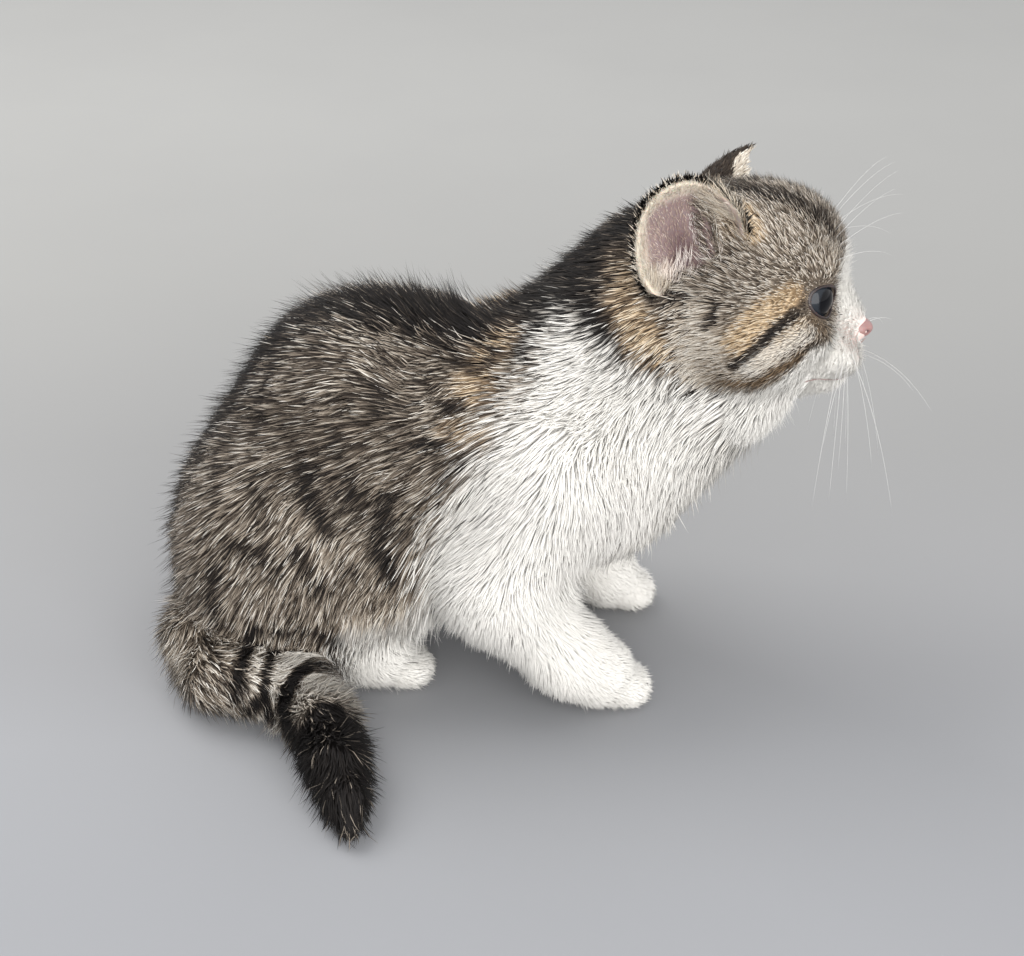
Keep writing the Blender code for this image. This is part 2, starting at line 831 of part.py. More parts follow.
def groove(points, masses):
    """A thin tube along a line on the face, laid on its surface, to cut a groove with."""
    places = np.array([head_point(point) for point in points])
    places = on_flesh(places, masses)
    return tube([Vector(place) for place in places], [GROOVE_RADIUS] * len(places), "groove", 2)


def ear_frame(ear):
    """An ear's place and turn: across, up and the way the cup faces."""
    up = ear["up"].normalized()
    facing = (ear["facing"] - up * ear["facing"].dot(up)).normalized()
    across = up.cross(facing)
    turn = Matrix((across, up, facing)).transposed().to_4x4()
    return head_frame() @ Matrix.Translation(ear["middle"]) @ turn


def ear_shape(ear, s, t):
    """A place on the ear's cup for s and t from -1 to 1: a tapering round rim with a hollow middle."""
    x = s * math.sqrt(1 - t * t / 2)
    y = t * math.sqrt(1 - s * s / 2)
    hollow = (1 - x * x) * (1 - 0.35 * (y + 1) ** 2 / 4) * (1 - max(y, 0) ** 3)
    return Vector(
        (
            x * ear["half_width"] * (1 - ear["taper"] * y - ear["point"] * max(y, 0) ** 2),
            y * ear["half_height"],
            -ear["depth"] * hollow,
        )
    )


def ear_cup(side):
    """One ear: a cupped sheet with thickness, on a solid root."""
    ear = EARS[side]
    bpy.ops.mesh.primitive_grid_add(x_subdivisions=7, y_subdivisions=7, size=2)
    cup = bpy.context.active_object
    for vertex in cup.data.vertices:
        vertex.co = ear_shape(ear, vertex.co.x, vertex.co.y)
    cup.data.transform(ear_frame(ear))
    modifier = cup.modifiers.new("Thickness", "SOLIDIFY")
    modifier.thickness = EAR_THICKNESS
    modifier.offset = -1
    apply_modifiers(cup)
    root_place = ear_frame(ear) @ Vector((0, -ear["half_height"] * 0.80, -ear["depth"] * 0.6))
    root = add_ball(root_place, EAR_ROOT_RADII, ear_frame(ear).to_3x3(), 20, 12)
    combine(cup, root, "UNION")
    discard(root)
    cup.name = side_name(side) + "_ear"
    return cup


def swollen(obj, amount):
    """A copy of obj whose surface lies further out by amount."""
    twin = duplicate(obj, "swollen")
    normals = np.empty(len(twin.data.vertices) * 3, np.float32)
    twin.data.vertices.foreach_get("normal", normals)
    write_points(twin.data, read_points(twin.data) + amount * normals.reshape(-1, 3))
    return twin


def make_ears(flesh):
    """Both ears, set on the head with a gap."""
    guard = swollen(flesh, GAP)
    ears = []
    for side in (-1, 1):
        ear = ear_cup(side)
        combine(ear, guard, "DIFFERENCE")
        tidy(ear)
        ears.append(ear)
    discard(guard)
    return ears


def make_eyes(head):
    """Both eyes, each in a socket cut in the head, with an opening between the lids."""
    eyes = []
    for side in (-1, 1):
        for cutter in (eye_ball(side, EYE_RADIUS + GAP), lid_opening(side)):
            combine(head, cutter, "DIFFERENCE")
            discard(cutter)
        eye = eye_ball(side, EYE_RADIUS)
        eye.name = side_name(side) + "_eye"
        eyes.append(eye)
    return eyes


def make_nose(head):
    """The nose leather with its two nostrils."""
    centre, radii = NOSE_ZONE
    nose = part_off(head, egg_zone(head_point(centre), radii, head_frame().to_3x3()), "nose")
    place, size = NOSTRIL
    for side in (-1, 1):
        centre = head_point((place.x, side * place.y, place.z))
        nostril = add_ball(centre, size, head_frame().to_3x3() @ turned((0, 0, side * 25)), 12, 8)
        combine(nose, nostril, "DIFFERENCE")
        discard(nostril)
    tidy(nose)
    return nose


def cut_mouth(head, masses):
    """The line between the lips and the groove below the nose."""
    mirrored = [(x, -y, z) for x, y, z in reversed(MOUTH_LINE[:-1])]
    for line in (list(MOUTH_LINE) + mirrored, PHILTRUM):
        cutter = groove(line, masses)
        combine(head, cutter, "DIFFERENCE")
        discard(cutter)


def flatten_soles(body):
    """Cuts everything off at the floor, so that the animal rests on small flats."""
    floor = half_space_zone((0, 0, 0), (0, 0, -1))(0.0)
    combine(body, floor, "DIFFERENCE")
    discard(floor)


def part_head(body, masses):
    """The head with its eyes, nose and mouth."""
    head = duplicate(body, "head")
    zone = half_space_zone(*HEAD_CUT)(0.0)
    combine(head, zone, "INTERSECT")
    discard(zone)
    pieces = make_eyes(head) + [make_nose(head)]
    cut_mouth(head, masses)
    tidy(head)
    return [head] + pieces


def part_body(body):
    """Everything behind the head, parted into its pieces."""
    beyond = half_space_zone(*HEAD_CUT)(GAP)
    combine(body, beyond, "DIFFERENCE")
    discard(beyond)
    tail = part_off(body, tail_zone, "tail_base")
    pieces = [
        part_off(tail, half_space_zone(*TAIL_TIP_CUT), "tail_tip"),
        part_off(tail, half_space_zone(*TAIL_MIDDLE_CUT), "tail_middle"),
        tail,
    ]
    for side in (-1, 1):
        pieces += part_legs(body, side)
    pieces += [
        part_off(body, half_space_zone(*NECK_CUT), "neck"),
        part_off(body, half_space_zone(*CHEST_CUT), "chest"),
        part_off(body, half_space_zone(*BELLY_CUT), "flanks"),
    ]
    body.name = "rump"
    for piece in pieces + [body]:
        tidy(piece)
    return pieces + [body]


def foreleg_zone(side):
    """A foreleg's own zone, a wide tube from the elbow to beyond the toes."""
    leg = FORELEGS[side]
    elbow, wrist, paw = (Vector(leg[key]) for key in ("elbow", "wrist", "paw"))
    above = elbow + (elbow - wrist) * 0.30
    middle = elbow.lerp(wrist, 0.5)
    beyond = paw + Vector((0.030, math.radians(leg["heading"]) * 0.030, 0))

    def make(grow):
        """The zone's solid."""
        radii = [radius + grow for radius in FORELEG_ZONE_RADII]
        return tube([above, middle, wrist, paw, beyond], radii, "foreleg zone")

    return make


def part_legs(body, side):
    """Foreleg and hind leg of one side, each with its paw."""
    name = side_name(side)
    wrist, paw = (Vector(FORELEGS[side][key]) for key in ("wrist", "paw"))
    foreleg = part_off(body, foreleg_zone(side), name + "_foreleg")
    forepaw = part_off(foreleg, half_space_zone(wrist.lerp(paw, 0.05), (0.75, 0, -0.66)), name + "_forepaw")
    hind_paw = part_off(body, egg_zone(HIND_PAW_ZONES[side], HIND_PAW_RADII), name + "_hind_paw")
    place = Vector((THIGH_PLACE.x, midline(THIGH_PLACE.x) + side * THIGH_PLACE.y, THIGH_PLACE.z))
    thigh = part_off(body, egg_zone(place, THIGH_ZONE, turned((0, 16, 0))), name + "_thigh")
    return [foreleg, forepaw, hind_paw, thigh]


def finish(node):
    """Gives a node its own material."""
    colour, roughness = FINISHES[node.name]
    material = bpy.data.materials.new(node.name)
    material.use_nodes = True
    shader = material.node_tree.nodes["Principled BSDF"]
    shader.inputs["Base Color"].default_value = (*colour, 1.0)
    shader.inputs["Roughness"].default_value = roughness
    node.data.materials.clear()
    node.data.materials.append(material)
    node.data.name = node.name


def gather(nodes):
    """Moves the nodes to the origin of the row and into one collection."""
    collection = bpy.data.collections.new("kitten")
    bpy.context.scene.collection.children.link(collection)
    for node in nodes:
        node.data.transform(Matrix.Translation(ORIGIN_SHIFT))
        finish(node)
        for other in list(node.users_collection):
            other.objects.unlink(node)
        collection.objects.link(node)


def clear_scene():
    """Starts from an empty scene."""
    for obj in list(bpy.data.objects):
        bpy.data.objects.remove(obj)


def main():
    """Builds the animal, parts it into its nodes and gives each its finish."""
    clear_scene()
    masses = flesh_masses()
    fine = whole_body(masses)
    flatten_soles(fine)
    body = duplicate(fine, "body")
    thin_out(fine, HEAD_DETAIL_TRIANGLES)
    thin_out(body, BODY_DETAIL_TRIANGLES)
    grow_locks(body, masses)
    flatten_soles(body)
    ears = make_ears(fine)
    nodes = part_head(fine, masses) + ears
    discard(fine)
    nodes += part_body(body)
    gather(nodes)


main()
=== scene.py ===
"""A still, life-size kitten in a plush tabby and white coat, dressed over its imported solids."""
import json
import logging
import math
from collections.abc import Iterator
from contextlib import contextmanager
from dataclasses import dataclass, field
from enum import Enum

import bmesh
import bpy
import numpy as np
from mathutils import Euler, Matrix, Vector
from mathutils.kdtree import KDTree

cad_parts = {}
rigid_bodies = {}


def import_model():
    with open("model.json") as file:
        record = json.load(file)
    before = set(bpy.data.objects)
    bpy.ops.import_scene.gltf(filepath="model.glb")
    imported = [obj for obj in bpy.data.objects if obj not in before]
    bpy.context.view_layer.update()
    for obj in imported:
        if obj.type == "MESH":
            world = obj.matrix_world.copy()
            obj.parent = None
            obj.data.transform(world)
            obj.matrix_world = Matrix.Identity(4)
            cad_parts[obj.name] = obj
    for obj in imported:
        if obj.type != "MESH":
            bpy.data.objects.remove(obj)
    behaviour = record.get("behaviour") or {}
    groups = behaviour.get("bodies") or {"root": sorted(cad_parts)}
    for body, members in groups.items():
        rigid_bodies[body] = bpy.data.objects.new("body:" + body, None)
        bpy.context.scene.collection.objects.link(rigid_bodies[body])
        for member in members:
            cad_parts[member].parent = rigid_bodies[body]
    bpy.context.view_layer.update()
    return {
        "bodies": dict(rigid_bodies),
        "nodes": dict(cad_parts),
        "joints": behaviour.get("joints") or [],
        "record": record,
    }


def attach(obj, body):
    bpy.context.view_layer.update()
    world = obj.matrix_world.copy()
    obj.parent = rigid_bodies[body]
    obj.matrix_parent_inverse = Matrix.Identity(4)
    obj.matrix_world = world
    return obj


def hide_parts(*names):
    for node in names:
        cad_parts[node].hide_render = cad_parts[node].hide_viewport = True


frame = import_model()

LOG = logging.getLogger("kitten")
SEED = 7
MM = 0.001
Triple = tuple[float, float, float]
Paint = Triple
Outline = tuple[tuple[float, float], ...]

# From the place where the animal is modelled to the solids' own place
ORIGIN_SHIFT = Vector((0.0045, 0.0233, 0.0))
# Where the head takes over from the body, and the nape from the skull, along the head
HEAD_BEGINS = (-0.034, -0.018)
NAPE_BEGINS = (-0.008, -0.024)
# The lowest that a tuft comes to the floor, and the skin
TUFT_FLOOR, SKIN_FLOOR = 0.00025, 0.0006
HIP_X, CHEST_X = -0.080, 0.020
HIP_SIDEWAYS, CHEST_SIDEWAYS = 0.007, 0.002
HEAD_CENTRE = Vector((0.0725, 0.0010, 0.1415))
HEAD_TURN = Euler((math.radians(-9), 0, math.radians(-9)))
NOSE_TIP = Vector((0.0362, 0, -0.0178))


class Side(Enum):
    """A side of the kitten, as the sign of its place across the body."""

    RIGHT = -1
    LEFT = 1

    @property
    def word(self) -> str:
        """The side's name, as the nodes have it."""
        return self.name.lower()


class Mark(Enum):
    """The colours that the coat is marked with."""

    DARK = 0
    GINGER = 1
    WHITE = 2
    PALE = 3
    BROWN = 4


@dataclass(frozen=True)
class CoatKind:
    """How the hair grows on one part of the body, in millimetres."""

    name: str
    depth: float
    length: float
    width: float
    density: float
    steps: tuple[float, ...] = (0.0, 0.38, 0.72, 1.0)
    proud: float = 0.6
    stray: float = 0.05
    clump: float = 0.35
    wander: float = 12.0


SHORT_STEPS = (0.0, 0.5, 1.0)
BACK = CoatKind("back", 6.5, 15.0, 0.48, 1.75, stray=0.15, proud=1.3)
RUMP = CoatKind("rump", 6.5, 14.5, 0.48, 1.65, stray=0.11, proud=0.9)
THIGH = CoatKind("thigh", 5.5, 12.5, 0.48, 1.65)
BELLY = CoatKind("belly", 5.5, 15.0, 0.56, 1.10, stray=0.12, proud=1.2)
CHEST = CoatKind("chest", 5.0, 12.0, 0.55, 1.30, stray=0.07)
NECK = CoatKind("neck", 4.5, 10.0, 0.48, 1.60, stray=0.10, proud=0.9)
TAIL = CoatKind("tail", 5.6, 11.5, 0.46, 2.20, stray=0.14, proud=0.8, clump=0.40)
ARM = CoatKind("arm", 3.0, 7.5, 0.50, 1.90, SHORT_STEPS)
PAW = CoatKind("paw", 1.5, 3.8, 0.39, 2.70, SHORT_STEPS, proud=0.2, stray=0.02, clump=0.2)
FOOT = CoatKind("foot", 2.4, 5.6, 0.43, 2.50, SHORT_STEPS, proud=0.4, stray=0.06, clump=0.3)
SKULL = CoatKind("skull", 1.7, 4.4, 0.33, 3.90, SHORT_STEPS, proud=0.5, stray=0.26, clump=0.35)
CHEEK = CoatKind("cheek", 1.9, 4.6, 0.34, 3.60, SHORT_STEPS, proud=0.4, clump=0.25)
FACE = CoatKind("face", 0.9, 2.5, 0.27, 6.00, SHORT_STEPS, proud=0.1, stray=0.0, clump=0.15)
THROAT = CoatKind("throat", 2.6, 7.0, 0.40, 2.20, proud=0.5)


def unit(vectors: np.ndarray) -> np.ndarray:
    """Rows of vectors, each made one long."""
    return vectors / np.maximum(np.linalg.norm(vectors, axis=-1, keepdims=True), 1e-9)


def along_surface(ways: np.ndarray, outward: np.ndarray) -> np.ndarray:
    """Rows of ways, each turned until it lies along the surface that faces outward."""
    return unit(ways - outward * (ways * outward).sum(axis=1, keepdims=True))


def smooth_step(low: float, high: float, values: np.ndarray) -> np.ndarray:
    """A soft step from 0 where the values are low to 1 where they are high."""
    share = np.clip((values - low) / (high - low), 0.0, 1.0)
    return share * share * (3 - 2 * share)


def waves(points: np.ndarray, size: float, seed: int) -> np.ndarray:
    """A soft random number for each place, from a few crossing sine waves.

    Args:
        points: Places, one a row.
        size: The length over which it changes, in metres.
        seed: Which of many such patterns.

    Returns:
        Numbers of about -1 to 1.
    """
    chance = np.random.default_rng(seed)
    total = np.zeros(len(points))
    for _ in range(7):
        way = chance.normal(size=3) * (2.2 / size) * chance.uniform(0.6, 1.5)
        total += np.sin(points @ way + chance.uniform(0, 2 * math.pi))
    return total / 2.6


def head_frame() -> Matrix:
    """The head's place and turn."""
    return Matrix.Translation(HEAD_CENTRE) @ HEAD_TURN.to_matrix().to_4x4()


def seen_from(frame: Matrix, points: np.ndarray) -> np.ndarray:
    """Places, one a row, in the frame's own axes."""
    turn = np.array(frame)
    return (points - turn[:3, 3]) @ turn[:3, :3]


def put_back(frame: Matrix, local: np.ndarray) -> np.ndarray:
    """Places of the frame's own axes, one a row, back on the body."""
    turn = np.array(frame)
    return local @ turn[:3, :3].T + turn[:3, 3]


def midline(x: np.ndarray | float) -> np.ndarray | float:
    """The sideways place of the body's middle plane at places along the body."""
    share = np.clip((CHEST_X - x) / (CHEST_X - HIP_X), 0.0, 1.2)
    return CHEST_SIDEWAYS + share * (HIP_SIDEWAYS - CHEST_SIDEWAYS)


def turned(degrees: Triple) -> Matrix:
    """The rotation by roll, pitch and yaw in degrees."""
    return Euler([math.radians(angle) for angle in degrees]).to_matrix()


def add_ball(segments: int, rings: int, radius: float = 1.0) -> bpy.types.Object:
    """Adds a round ball of so many segments and rings."""
    bpy.ops.mesh.primitive_uv_sphere_add(segments=segments, ring_count=rings, radius=radius)
    return bpy.context.active_object


def add_object(name: str, data: bpy.types.ID) -> bpy.types.Object:
    """Adds an object that shows data.

    Args:
        name: The object's name.
        data: A mesh, curve, light or camera.

    Returns:
        The object.
    """
    obj = bpy.data.objects.new(name, data)
    bpy.context.scene.collection.objects.link(obj)
    return obj


@dataclass
class Mass:
    """One rounded mass of the body and the coat on it."""

    coat: CoatKind
    blend: float
    lie: Vector | None = None

    def distance(self, points: np.ndarray, sunk: bool) -> np.ndarray:
        """How far places, one a row, are from the mass, with its coat or sunk below it."""
        raise NotImplementedError

    def blank(self) -> bpy.types.Object:
        """A plain solid of the mass without its coat."""
        raise NotImplementedError


@dataclass
class Ball(Mass):
    """An egg-shaped mass."""

    centre: Vector = field(default_factory=Vector)
    radii: Vector = field(default_factory=Vector)
    turn: Matrix = field(default_factory=Matrix)

    def bare_radii(self) -> Vector:
        """The radii without the coat."""
        depth = self.coat.depth * MM
        return Vector([max(radius - depth, 0.4 * radius) for radius in self.radii])

    def distance(self, points: np.ndarray, sunk: bool) -> np.ndarray:
        """How far each place is from the egg.

        Args:
            points: Places, one a row.
            sunk: Whether the egg is taken without its coat.

        Returns:
            Distances, negative inside.
        """
        radii = np.array(self.bare_radii() if sunk else self.radii)
        local = (points - np.array(self.centre)) @ np.array(self.turn)
        scaled = np.linalg.norm(local / radii, axis=1)
        slope = np.linalg.norm(local / radii**2, axis=1)
        return scaled * (scaled - 1.0) / np.maximum(slope, 1e-9)

    def blank(self) -> bpy.types.Object:
        """A plain egg without the coat.

        Returns:
            The egg's object.
        """
        obj = add_ball(24, 14)
        size = Matrix.Diagonal((*self.bare_radii(), 1))
        obj.data.transform(Matrix.Translation(self.centre) @ self.turn.to_4x4() @ size)
        return obj


@dataclass
class Limb(Mass):
    """A tapering round mass between two places."""

    start: Vector = field(default_factory=Vector)
    end: Vector = field(default_factory=Vector)
    start_radius: float = 0.01
    end_radius: float = 0.01

    def bare(self, radius: float) -> float:
        """A radius out to the coat's surface, without the coat."""
        return max(radius - self.coat.depth * MM, 0.42 * radius)

    def distance(self, points: np.ndarray, sunk: bool) -> np.ndarray:
        """How far each place is from the limb.

        Args:
            points: Places, one a row.
            sunk: Whether the limb is taken without its coat.

        Returns:
            Distances, negative inside.
        """
        first = self.bare(self.start_radius) if sunk else self.start_radius
        last = self.bare(self.end_radius) if sunk else self.end_radius
        start, along = np.array(self.start), np.array(self.end - self.start)
        share = np.clip((points - start) @ along / (along @ along), 0.0, 1.0)
        nearest = start + share[:, None] * along
        return np.linalg.norm(points - nearest, axis=1) - (first + share * (last - first))

    def blank(self) -> bpy.types.Object:
        """A plain tapering solid with round ends, without the coat.

        Returns:
            The solid's object.
        """
        length = (self.end - self.start).length
        obj = add_ball(20, 14)
        first, last = self.bare(self.start_radius), self.bare(self.end_radius)
        for vertex in obj.data.vertices:
            radius, shift = (last, length) if vertex.co.z > 0 else (first, 0.0)
            vertex.co = vertex.co * radius + Vector((0, 0, shift))
        way = (self.end - self.start).to_track_quat("Z", "Y").to_matrix().to_4x4()
        obj.data.transform(Matrix.Translation(self.start) @ way)
        return obj


class Flesh:
    """All masses of the body, which flow together where they meet."""

    def __init__(self, masses: list[Mass]) -> None:
        """Keeps the masses.

        Args:
            masses: The masses, in the order in which they flow together.
        """
        self.masses = masses
        self.nose = np.array(head_frame() @ NOSE_TIP)
        self.eyes = [np.array(Eye(side).frame().translation) for side in Side]

    def distance(self, points: np.ndarray, sunk: bool = False) -> np.ndarray:
        """How far each place is from the body's surface.

        Args:
            points: Places, one a row.
            sunk: Whether the bare skin is meant, and not the coat's surface.

        Returns:
            Distances, negative inside.
        """
        total = np.full(len(points), 1.0)
        for mass in self.masses:
            one = mass.distance(points, sunk)
            overlap = np.maximum(mass.blend - np.abs(total - one), 0.0) / mass.blend
            total = np.minimum(total, one) - overlap**2 * mass.blend / 4
        return total

    def slope(self, points: np.ndarray, sunk: bool = False) -> tuple[np.ndarray, np.ndarray]:
        """The distance and the way in which it grows.

        Args:
            points: Places, one a row.
            sunk: Whether the bare skin is meant.

        Returns:
            Distances, and rows of the slope.
        """
        step = 0.0003
        here = self.distance(points, sunk)
        slope = np.empty_like(points)
        for axis in range(3):
            shift = np.zeros(3)
            shift[axis] = step
            slope[:, axis] = (self.distance(points + shift, sunk) - here) / step
        return here, slope

    def settle(self, points: np.ndarray, level: float = 0.0, sunk: bool = True) -> np.ndarray:
        """Moves places onto the surface.

        Args:
            points: Places, one a row.
            level: How far outside the surface they come to lie.
            sunk: Whether the bare skin is meant.

        Returns:
            The moved places.
        """
        for _ in range(2):
            here, slope = self.slope(points, sunk)
            size = np.maximum((slope**2).sum(axis=1), 0.05)
            points = points - slope * ((here - level) / size)[:, None]
        return points

    def coat(self, points: np.ndarray) -> tuple[np.ndarray, np.ndarray]:
        """The coat's lie, and the mass that rules it, at each place.

        Args:
            points: Places, one a row.

        Returns:
            Rows of the lie, and the index of the nearest mass.
        """
        reach, eye_reach, parting = 0.005, 0.0125, 1.3
        away = unit(points - self.nose)
        lie = np.zeros_like(points)
        best = np.full(len(points), -np.inf)
        index = np.zeros(len(points), int)
        for number, mass in enumerate(self.masses):
            pull = -mass.distance(points, True) / reach
            closer = pull > best
            best = np.where(closer, pull, best)
            index[closer] = number
            weight = np.exp(np.clip(pull, -12, 3))[:, None]
            if mass.lie is None:
                lie += weight * away
            else:
                lie += weight * np.array(mass.lie.normalized())
        for eye in self.eyes:
            apart = points - eye
            near = np.exp(-((np.linalg.norm(apart, axis=1) / eye_reach) ** 4))
            lie = unit(lie) + parting * near[:, None] * unit(apart)
        return unit(lie), index


@dataclass
class Anatomy:
    """The kitten's masses, from the sizes of its bones and flesh."""

    tail_line: tuple[tuple[float, float, float, float], ...] = (
        (-0.0960, 0.0040, 0.0260, 0.0130),
        (-0.1025, -0.0170, 0.0170, 0.0128),
        (-0.0950, -0.0320, 0.0128, 0.0122),
        (-0.0800, -0.0345, 0.0122, 0.0120),
        (-0.0672, -0.0400, 0.0120, 0.0120),
        (-0.0585, -0.0550, 0.0118, 0.0120),
        (-0.0530, -0.0720, 0.0105, 0.0108),
        (-0.0495, -0.0850, 0.0080, 0.0080),
        (-0.0480, -0.0935, 0.0050, 0.0040),
    )
    heel_x: float = -0.080
    toe_x: float = -0.0425

    def ball(
        self,
        coat: CoatKind,
        place: Triple,
        radii: Triple,
        blend: float,
        lie: Triple,
        turn: Triple = (0, 0, 0),
    ) -> Ball:
        """An egg on the body.

        Args:
            coat: The hair on it.
            place: Along the body, across it from the middle plane, and height.
            radii: Its three radii.
            blend: How softly it flows into its neighbours.
            lie: The way the hair lies.
            turn: Roll, pitch and yaw in degrees.

        Returns:
            The mass.
        """
        x, across, z = place
        centre = Vector((x, midline(x) + across, z))
        return Ball(coat, blend, Vector(lie), centre, Vector(radii), turned(turn))

    def limb(
        self,
        coat: CoatKind,
        start: Triple,
        end: Triple,
        radii: tuple[float, float],
        blend: float,
        lie: Triple | None = None,
    ) -> Limb:
        """A tapering mass on the body.

        Args:
            coat: The hair on it.
            start: Where it starts.
            end: Where it ends.
            radii: Its radius at either end.
            blend: How softly it flows into its neighbours.
            lie: The way the hair lies, or None for along the limb.

        Returns:
            The mass.
        """
        first, last = Vector(start), Vector(end)
        way = Vector(lie) if lie else last - first
        return Limb(coat, blend, way, first, last, *radii)

    def trunk(self) -> list[Mass]:
        """Hips, loin, ribs, belly, chest and nape.

        Returns:
            Their masses.
        """
        return [
            self.ball(RUMP, (-0.0755, 0, 0.045), (0.036, 0.036, 0.047), 0.012, (-0.50, 0, -0.85), (0, 14, 0)),
            self.ball(BACK, (-0.0440, 0, 0.085), (0.041, 0.036, 0.045), 0.020, (-1.0, 0, -0.16)),
            self.ball(BACK, (-0.0060, 0, 0.081), (0.046, 0.034, 0.041), 0.020, (-1.0, 0, -0.06)),
            self.ball(BELLY, (-0.0300, 0, 0.052), (0.044, 0.034, 0.036), 0.015, (-0.65, 0, -0.75)),
            self.limb(
                CHEST, (0.026, 0.002, 0.072), (0.058, 0.001, 0.104), (0.032, 0.0265), 0.018, (-0.55, 0, -0.80)
            ),
            self.limb(
                NECK, (0.014, 0.003, 0.100), (0.045, 0.001, 0.1325), (0.028, 0.0270), 0.015, (-0.90, 0, -0.45)
            ),
        ]

    def toes(self, root: Vector, heading: float, radius: float, reach: float) -> list[Mass]:
        """Four toes that fan out in front of a paw.

        Args:
            root: The paw's middle.
            heading: The way it points, in degrees.
            radius: A toe's radius.
            reach: How far ahead of the paw's middle the toes lie.

        Returns:
            The toes.
        """
        toes: list[Mass] = []
        for number in range(4):
            across = (number - 1.5) * 0.62
            angle = math.radians(heading) + 0.42 * across
            ahead = reach * (1.0 - 0.10 * across**2)
            way = Vector((math.cos(angle), math.sin(angle), 0))
            place = root + way * ahead
            place.z = radius * 0.92
            radii = Vector((radius * 1.35, radius * 0.95, radius))
            turn = Euler((0, 0, angle)).to_matrix()
            toes.append(Ball(PAW, 0.0022, way + Vector((0, 0, -0.35)), place, radii, turn))
        return toes

    def foreleg(self, side: Side) -> list[Mass]:
        """One foreleg with its toes.

        Args:
            side: The leg's side.

        Returns:
            Its masses.
        """
        if side is Side.RIGHT:
            shoulder, elbow = (0.012, -0.021, 0.082), (-0.004, -0.028, 0.044)
            wrist, paw, heading = (0.018, -0.0300, 0.0190), (0.0275, -0.0290, 0.0118), 6
        else:
            shoulder, elbow = (0.014, 0.026, 0.082), (0.004, 0.031, 0.046)
            wrist, paw, heading = (0.024, 0.030, 0.0185), (0.0325, 0.0255, 0.0115), -2
        return [
            self.limb(CHEST, shoulder, elbow, (0.0215, 0.0170), 0.014, (-0.45, 0, -0.90)),
            self.limb(ARM, elbow, wrist, (0.0170, 0.0132), 0.010, (0.35, 0, -0.90)),
            self.limb(PAW, wrist, paw, (0.0132, 0.0122), 0.006),
        ] + self.toes(Vector(paw), heading, 0.0062, 0.0095)

    def hindleg(self, side: Side) -> list[Mass]:
        """The folded thigh and the long foot under it.

        Args:
            side: The leg's side.

        Returns:
            Its masses.
        """
        sign = side.value
        heel = (self.heel_x, midline(self.heel_x) + sign * 0.0212, 0.0118)
        toe = (self.toe_x, midline(self.toe_x) + sign * 0.0240, 0.0112)
        thigh = self.ball(
            THIGH, (-0.0630, sign * 0.023, 0.046), (0.040, 0.021, 0.042), 0.014, (-0.50, 0, -0.80), (0, 16, 0)
        )
        foot = self.limb(FOOT, heel, toe, (0.0122, 0.0114), 0.006)
        return [thigh, foot] + self.toes(Vector(toe), sign * -3, 0.0060, 0.0090)

    def tail(self) -> list[Mass]:
        """The tail, curled round the near side on the floor.

        Returns:
            Its masses.
        """
        return [
            self.limb(TAIL, first[:3], last[:3], (first[3], last[3]), 0.004)
            for first, last in zip(self.tail_line, self.tail_line[1:])
        ]

    def head_ball(
        self,
        coat: CoatKind,
        place: Triple,
        radii: Triple,
        blend: float,
    ) -> Ball:
        """An egg at a place in the head's frame, whose hair lies away from the nose."""
        turn = head_frame()
        return Ball(coat, blend, None, turn @ Vector(place), Vector(radii), turn.to_3x3())

    def head(self) -> list[Mass]:
        """Skull, brows, cheeks, muzzle and chin of a round, short face.

        Returns:
            Their masses.
        """
        turn = head_frame()
        brow, nose = turn @ Vector((0.0220, 0, -0.0055)), turn @ Vector((0.0303, 0, -0.0158))
        bridge = Limb(FACE, 0.005, None, brow, nose, 0.0062, 0.0046)
        masses: list[Mass] = [
            self.head_ball(SKULL, (-0.0020, 0, 0), (0.0262, 0.0285, 0.0250), 0.008),
            self.head_ball(SKULL, (0.0090, 0, 0.0042), (0.0163, 0.0210, 0.0168), 0.008),
            self.head_ball(THROAT, (0.0055, 0, -0.0255), (0.0205, 0.0200, 0.0148), 0.010),
            self.head_ball(THROAT, (-0.0030, 0, -0.0385), (0.0145, 0.0180, 0.0140), 0.010),
            self.head_ball(FACE, (0.0195, 0, -0.0235), (0.0130, 0.0130, 0.0115), 0.006),
            bridge,
            self.head_ball(FACE, (0.0318, 0, -0.0180), (0.0036, 0.0046, 0.0036), 0.002),
            self.head_ball(FACE, (0.0205, 0, -0.0330), (0.0092, 0.0088, 0.0055), 0.003),
        ]
        for side in Side:
            sign = side.value
            masses += [
                self.head_ball(SKULL, (0.0172, sign * 0.0110, 0.0042), (0.0080, 0.0095, 0.0060), 0.004),
                self.head_ball(CHEEK, (0.0020, sign * 0.0182, -0.0165), (0.0185, 0.0135, 0.0160), 0.008),
                self.head_ball(CHEEK, (0.0145, sign * 0.0152, -0.0160), (0.0098, 0.0082, 0.0078), 0.005),
                self.head_ball(FACE, (0.0257, sign * 0.0066, -0.0248), (0.0080, 0.0082, 0.0062), 0.003),
                self.head_ball(FACE, (0.0152, sign * 0.0130, -0.0052), (0.0090, 0.0090, 0.0090), 0.003),
            ]
        return masses

    def flesh(self) -> Flesh:
        """Joins all masses.

        Returns:
            The whole body.
        """
        masses = self.trunk()
        for make in (self.hindleg, self.foreleg):
            for side in Side:
                masses += make(side)
        return Flesh(masses + self.tail() + self.head())


